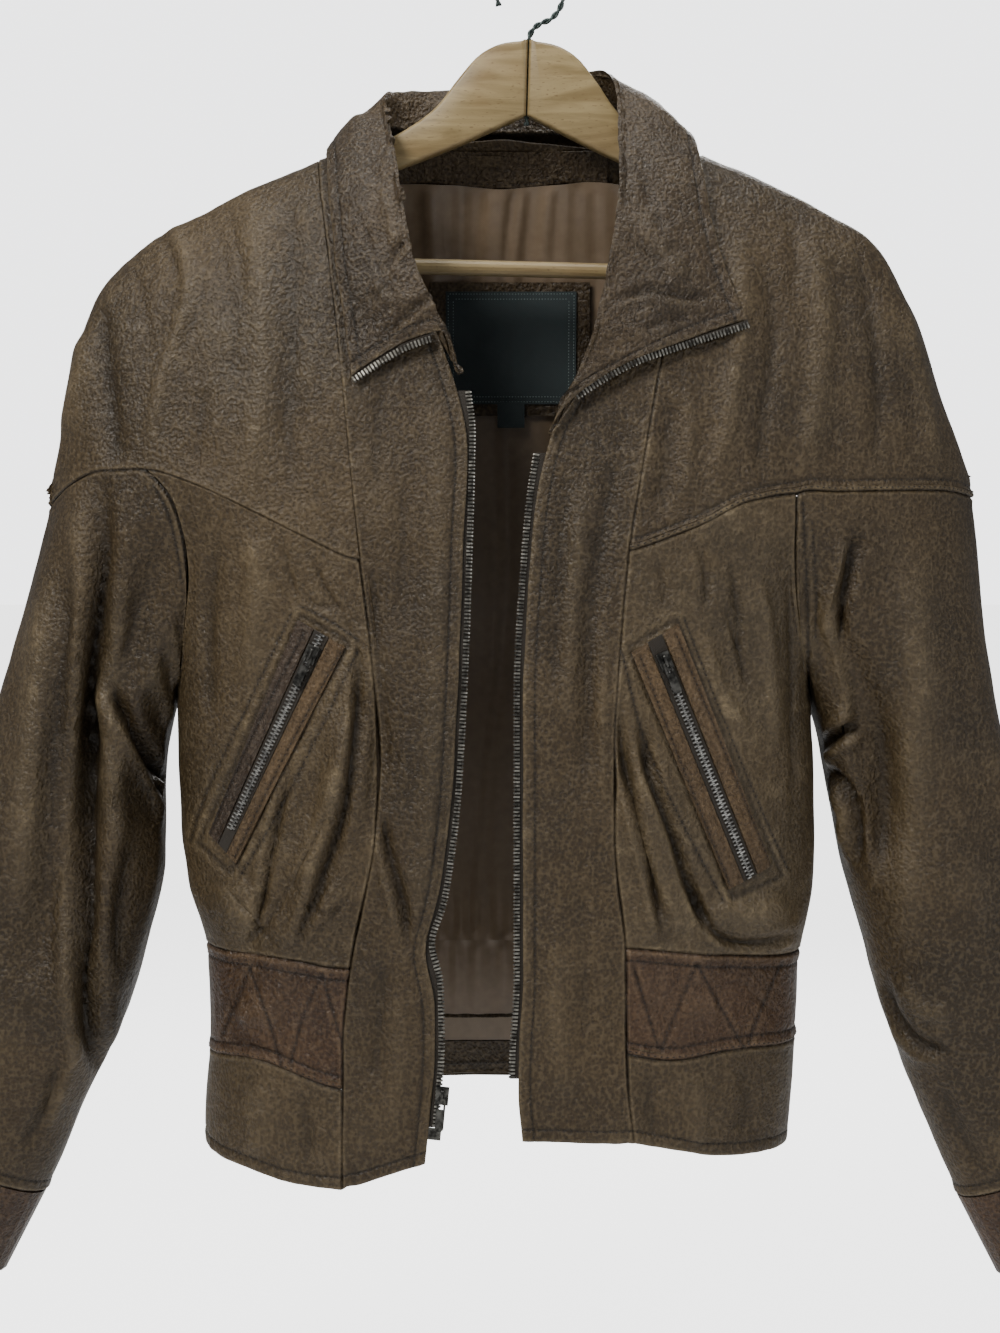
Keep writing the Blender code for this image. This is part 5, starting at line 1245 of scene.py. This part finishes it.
def alongLine(line, pitch):
    # evenly spaced places on a line, with the direction there
    line = np.array(line)
    run = np.concatenate([[0], np.cumsum(np.linalg.norm(np.diff(line, axis=0), axis=1))])
    count = max(1, int(run[-1] / pitch))
    spots = (np.arange(count) + 0.5) * run[-1] / count
    place = np.stack([np.interp(spots, run, line[:, a]) for a in range(3)], axis=-1)
    ahead = np.stack([np.interp(spots + pitch * 0.4, run, line[:, a]) for a in range(3)], axis=-1)
    behind = np.stack([np.interp(spots - pitch * 0.4, run, line[:, a]) for a in range(3)], axis=-1)
    way = ahead - behind
    return place, way / np.maximum(np.linalg.norm(way, axis=1, keepdims=True), 1e-12), spots, run


class Stitches:
    pitch, length, thick = 4.0 * mm, 2.7 * mm, 0.48 * mm

    def __init__(self):
        self.points, self.faces = [], []

    def sew(self, line, lean):
        place, way, spots, run = alongLine(line, self.pitch)
        lean = np.stack([np.interp(spots, run, np.array(lean)[:, a]) for a in range(3)], axis=-1)
        for c, t, n in zip(place, way, lean):
            side = np.cross(t, n)
            first = len(self.points)
            c = c + n * 0.05 * mm
            half = t * self.length / 2
            self.points += [c - half - n * 0.25 * mm, c + side * self.thick, c + n * self.thick,
                            c - side * self.thick, c - n * self.thick, c + half - n * 0.25 * mm]
            for k in range(4):
                one, two = first + 1 + k, first + 1 + (k + 1) % 4
                self.faces += [(first, one, two), (first + 5, two, one)]


def sewPanels():
    stitches = Stitches()
    rows = [("yoke_r", "foot", 7.5), ("yoke_l", "foot", 7.5), ("yoke_back", "foot", 7.5),
            ("front_center_r", "right", 7.5), ("front_center_l", "left", 7.5),
            ("front_center_r", "foot", 7.5),
            ("front_center_l", "foot", 7.5), ("hem_r", "foot", 7.5), ("hem_l", "foot", 7.5),
            ("hem_back", "foot", 7.5), ("waistband_r", "top", 7.5), ("waistband_r", "foot", 7.5),
            ("waistband_l", "top", 7.5), ("waistband_l", "foot", 7.5), ("waistband_back", "top", 7.5),
            ("waistband_back", "foot", 7.5), ("waistband_r", "foot", 2.2), ("waistband_l", "foot", 2.2),
            ("yoke_r", "foot", 2.6), ("yoke_l", "foot", 2.6),
            ("collar", "foot", 7.5), ("collar", "left", 7.5), ("collar", "right", 7.5),
            ("sleeve_r", "foot", 7.5), ("sleeve_l", "foot", 7.5), ("hem_facing", "foot", 7.5),
            ("neck_facing", "foot", 2.0)]
    for node, edge, distance in rows:
        line, lean = panels[node].lineAt(edge, distance * mm)
        if panels[node].closed:
            line, lean = np.concatenate([line, line[:1]]), np.concatenate([lean, lean[:1]])
        elif len(line) > 6 and distance > 5:
            line, lean = line[2:-2], lean[2:-2]
        if node in ("hem_facing", "neck_facing"):
            line, lean = line - lean * shellTable[node][1] * mm, -lean
        stitches.sew(line, lean)
    eye = Vector(studio["cameraPlace"])
    for nodes, path in drawnStitches:
        trees = []
        for node in nodes:
            p = panels[node].points
            rowCount, colCount = p.shape[:2]
            number = np.arange(rowCount * colCount).reshape(rowCount, colCount)
            if panels[node].closed:
                number = np.concatenate([number, number[:, :1]], axis=1)
            quads = np.stack([number[:-1, :-1], number[:-1, 1:], number[1:, 1:], number[1:, :-1]],
                             axis=-1).reshape(-1, 4)
            trees.append(BVHTree.FromPolygons(p.reshape(-1, 3).tolist(), quads.tolist()))
        line, lean = [], []
        for across, down in smoothPath(path, 10):
            for tree in trees:
                hit, normal, _, _ = tree.ray_cast(eye, sightLine(across, down))
                if hit is not None:
                    line.append(np.array(hit))
                    lean.append(np.array(normal) if normal.y < 0 else -np.array(normal))
                    break
        if len(line) > 2:
            stitches.sew(line, lean)
    newPiece("stitching", stitches.points, stitches.faces, "thread")
    border = Stitches()
    border.pitch, border.length, border.thick = 2.0 * mm, 1.9 * mm, 0.3 * mm
    for inset in (1.6, 5.0):
        for edge in ("top", "foot", "left", "right"):
            line, lean = panels["label"].lineAt(edge, inset * mm)
            run = line[:, 0] if edge in ("top", "foot") else line[:, 2]
            ends = (run > run.min() + inset * mm - 1e-5) & (run < run.max() - inset * mm + 1e-5)
            border.sew((line - lean * shellTable["label"][1] * mm)[ends], -lean[ends])
    newPiece("label_border", border.points, border.faces, "paleThread")
    print("stitches:", len(stitches.faces) // 8)


sewPanels()

# Seam allowances: strips turned under along the seams


def makeAllowances():
    for side, seams in (("r", (("front_center_r", "left"), ("yoke_r", "foot"), ("waistband_r", "foot"),
                               ("front_side_r", "foot"), ("front_side_r", "left"), ("front_side_r", "top"))),
                        ("l", (("front_center_l", "right"), ("yoke_l", "foot"), ("waistband_l", "foot"),
                               ("front_side_l", "foot"), ("front_side_l", "right"), ("front_side_l", "top"))),
                        ("back", (("waistband_back", "foot"),))):
        points, faces = [], []
        for node, edge in seams:
            line, lean = panels[node].lineAt(edge, 0.0)
            if node.startswith("front_center"):
                line, lean = line[:-3], lean[:-3]
            elif node.startswith("front_side"):  # on under the next seam
                ahead, behind = line[:1] * 2 - line[4:5], line[-1:] * 2 - line[-5:-4]
                line = np.concatenate([ahead, line, behind])
                lean = np.concatenate([lean[:1], lean, lean[-1:]])
            first = len(points)
            for k, (c, n) in enumerate(zip(line, lean)):
                t = line[min(k + 1, len(line) - 1)] - line[max(k - 1, 0)]
                across = np.cross(t, n)
                across /= max(np.linalg.norm(across), 1e-9)
                for reach, depth in ((-3.5, 1.9), (3.5, 1.9), (3.5, 2.9), (-3.5, 2.9)):
                    points.append(c + across * reach * mm - n * depth * mm)
            for k in range(len(line) - 1):
                for j in range(4):
                    a, b = first + 4 * k + j, first + 4 * k + (j + 1) % 4
                    faces.append((a, b, b + 4, a + 4))
            faces += [tuple(range(first + 3, first - 1, -1)), tuple(range(len(points) - 4, len(points)))]
        newPiece("seam_allowance_" + side, points, faces, "jacketHide", smooth=False)


makeAllowances()

# Zip teeth along the tapes


class Teeth:
    def __init__(self):
        self.points, self.faces = [], []

    def addTooth(self, place, way, across, lean, size):
        # a block with a rounded nose: way along the zip, across towards the other half
        long, wide, thick = size
        first = len(self.points)
        for reach, share in ((-0.5, 1.0), (0.28, 1.0), (0.5, 0.62)):
            for u, v in ((-1, -1), (1, -1), (1, 1), (-1, 1)):
                self.points.append(place + across * long * reach + way * wide * 0.5 * u * share
                                   + lean * thick * 0.5 * v * share)
        for ring in (0, 4):
            for k in range(4):
                a, b = first + ring + k, first + ring + (k + 1) % 4
                self.faces.append((a, b, b + 4, a + 4))
        self.faces += [tuple(range(first + 3, first - 1, -1)), tuple(range(first + 8, first + 12))]


def tapeGrid(node):
    points, faces = weldedMesh(node)
    sheet, _ = outerFaces(points, faces, (0, -1, 0))
    grid = points[marchGrid(points, sheet, False)]
    if len(grid) < grid.shape[1]:
        grid = grid.transpose(1, 0, 2)
    return grid


zipTeeth = {  # in mm: from tooth to tooth, size along, wide and thick, and how far in and out they sit
    "openPitch": 2.3, "openSize": (4.0, 1.15, 2.4), "openIn": 1.0, "openSink": 0.2,
    "shutPitch": 1.3, "shutSize": (3.4, 0.95, 1.3), "shutIn": 0.95, "shutRise": 0.5, "sliderLength": 15,
}


def makeTeeth():
    openTeeth, shutTeeth = Teeth(), Teeth()
    use = {key: np.array(value) * mm for key, value in zipTeeth.items()}
    for node, pickEdge in (("zip_tape_r", "high"), ("zip_tape_l", "low"), ("zip_collar_r", "under"),
                           ("zip_collar_l", "under")):
        grid = tapeGrid(node)
        axis = 2 if pickEdge == "under" else 0
        last = grid[:, -1, axis].mean() > grid[:, 0, axis].mean()
        if pickEdge in ("low", "under"):
            last = not last
        edge, other = (grid[:, -1], grid[:, 0]) if last else (grid[:, 0], grid[:, -1])
        line, inner = smoothPath(edge), smoothPath(other)
        place, way, spots, run = alongLine(line, use["openPitch"])
        root = np.stack([np.interp(spots, run, inner[:, a]) for a in range(3)], axis=-1)
        for c, t, r in zip(place, way, root):
            across = c - r
            across = across - t * (across @ t)
            across /= np.linalg.norm(across)
            lean = np.cross(t, across)
            lean = lean if lean[1] < 0 else -lean
            openTeeth.addTooth(c - across * use["openIn"] - lean * use["openSink"], t, across, lean,
                               use["openSize"])
    for node in ("pocket_r_tape", "pocket_l_tape"):
        grid = tapeGrid(node)
        line = smoothPath(grid.mean(axis=1))
        sideLine = smoothPath(grid[:, -1])
        place, way, spots, run = alongLine(line, use["shutPitch"])
        root = np.stack([np.interp(spots, run, sideLine[:, a]) for a in range(3)], axis=-1)
        for k, (c, t, r) in enumerate(zip(place, way, root)):
            if spots[k] < use["sliderLength"]:
                continue
            across = r - c
            across = across - t * (across @ t)
            across /= np.linalg.norm(across)
            lean = np.cross(t, across)
            lean = lean if lean[1] < 0 else -lean
            sign = 1 if k % 2 else -1
            shutTeeth.addTooth(c - across * sign * use["shutIn"] + lean * use["shutRise"], t,
                               across * sign, lean, use["shutSize"])
    newPiece("front_teeth", openTeeth.points, openTeeth.faces, "teethMetal", smooth=False)
    newPiece("pocket_teeth", shutTeeth.points, shutTeeth.faces, "brightTeeth", smooth=False)
    print("teeth:", (len(openTeeth.faces) + len(shutTeeth.faces)) // 10)


makeTeeth()

# The hanger's hook: two strands twisted together up the stem and round the crook


def makeHook():
    tilt = Matrix.Rotation(math.radians(hookWire["tilt"]), 3, "Y")
    route = [(0, 107), (0, 90), (0, 75), (0, 64), (0, 54), (0.8, 48), (3.2, 43.5), (7.5, 40.2)]
    reach = hookWire["crook"] + hookWire["wire"]
    for k in range(12):
        turn = math.radians(-52 + 257 * k / 11)
        route.append((reach * math.cos(turn), hookWire["crook"] - reach * math.sin(turn)))
    centre = smoothPath([(x * mm, 0, -drop * mm) for x, drop in route], 8)
    centre = np.array([tilt @ Vector(p) for p in centre])
    run = np.concatenate([[0], np.cumsum(np.linalg.norm(np.diff(centre, axis=0), axis=1))])
    points, faces = [], []
    for strand in (0, math.pi):
        first = len(points)
        for k, c in enumerate(centre):
            t = centre[min(k + 1, len(centre) - 1)] - centre[max(k - 1, 0)]
            t /= np.linalg.norm(t)
            out = np.array((0.0, 1.0, 0.0))
            flat = np.cross(t, out)
            angle = run[k] / hookWire["twistPitch"] * 2 * math.pi + strand
            core = c + (flat * math.cos(angle) + out * math.sin(angle)) * hookWire["strand"] * 0.95
            for j in range(8):
                turn = j * math.pi / 4
                points.append(core + (flat * math.cos(turn) + out * math.sin(turn)) * hookWire["strand"])
        for k in range(len(centre) - 1):
            for j in range(8):
                a, b = first + k * 8 + j, first + k * 8 + (j + 1) % 8
                faces.append((a, a + 8, b + 8, b))
        faces.append(tuple(range(first, first + 8)))
        faces.append(tuple(reversed(range(len(points) - 8, len(points)))))
    hook = newPiece("twisted_hook", points, faces, "wire")
    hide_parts("hanger_hook")


armShape = {  # mm out from the middle and down from the hook's hanging point; then depth and inset
    "top": [(0.4, 52), (20, 55.5), (30, 61), (45, 78), (59, 97), (75, 110), (95, 121.5), (139, 139.3),
            (176, 156.4), (197, 166.7), (212, 175), (221, 186)],
    "foot": [(0.4, 101), (53, 126), (87, 140), (139, 162), (180, 186), (200, 204), (214, 207), (221, 199)],
    "rings": [(-6, 2.4), (-5.5, 1.1), (-4.4, 0.3), (-3, 0), (3, 0), (4.4, 0.3), (5.5, 1.1), (6, 2.4)],
}


def makeArms():
    tilt = Matrix.Rotation(math.radians(hookWire["tilt"]), 3, "Y")
    lastRing = len(armShape["rings"]) - 1
    for side, sign in (("r", -1), ("l", 1)):
        top, foot = smoothPath(armShape["top"], 4), smoothPath(armShape["foot"], 5)
        outline = np.concatenate([top, foot[::-1]]) * np.array([sign, 1.0])
        before, after = np.roll(outline, 1, 0), np.roll(outline, -1, 0)
        run = (after - before) / np.linalg.norm(after - before, axis=1, keepdims=True)
        inward = np.stack([-run[:, 1], run[:, 0]], axis=1) * sign
        points, faces = [], []
        for y, inset in armShape["rings"]:
            for x, drop in outline + inward * inset:
                x = sign * max(sign * x, 0.4)
                points.append(tilt @ Vector((x * mm, y * mm, -drop * mm)))
        count = len(outline)
        for ring in range(lastRing):
            for k in range(count):
                a, b = ring * count + k, ring * count + (k + 1) % count
                quad = (a, b, b + count, a + count)
                faces.append(quad if sign > 0 else quad[::-1])
        front, back = tuple(range(count)), tuple(range(lastRing * count, len(points)))
        faces += [front[::-1], back] if sign > 0 else [front, back[::-1]]
        arm = newPiece("smooth_arm_" + side, points, faces, "beech")
        arm.select_set(True)
        bpy.context.view_layer.objects.active = arm
        bpy.ops.object.shade_smooth_by_angle(angle=math.radians(45))
        arm.select_set(False)
        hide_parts("hanger_arm_" + side)


hookWire = {"tilt": 1.5, "wire": 2.1, "crook": 20.0, "strand": 1.05 * mm, "twistPitch": 0.0135}
makeHook()
makeArms()

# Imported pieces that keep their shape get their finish

keptFinishes = {
    "beech": ["hanger_bar"], "bandHide": ["cuff_r", "cuff_l"], "jacketHide": ["hanger_loop"],
    "labelCloth": ["size_tab"],
    "tape": ["pocket_r_tape", "pocket_l_tape", "zip_tape_r", "zip_tape_l", "zip_collar_r", "zip_collar_l"],
    "zipMetal": ["pocket_r_slider", "pocket_l_slider", "zip_slider", "pocket_r_pull", "pocket_l_pull",
                 "zip_pull", "zip_box"],
}
for finish, nodes in keptFinishes.items():
    for node in nodes:
        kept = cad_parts[node].data.materials
        kept.clear()
        kept.append(finishes[finish])
print("packed pieces finished:", sum(map(len, keptFinishes.values())))
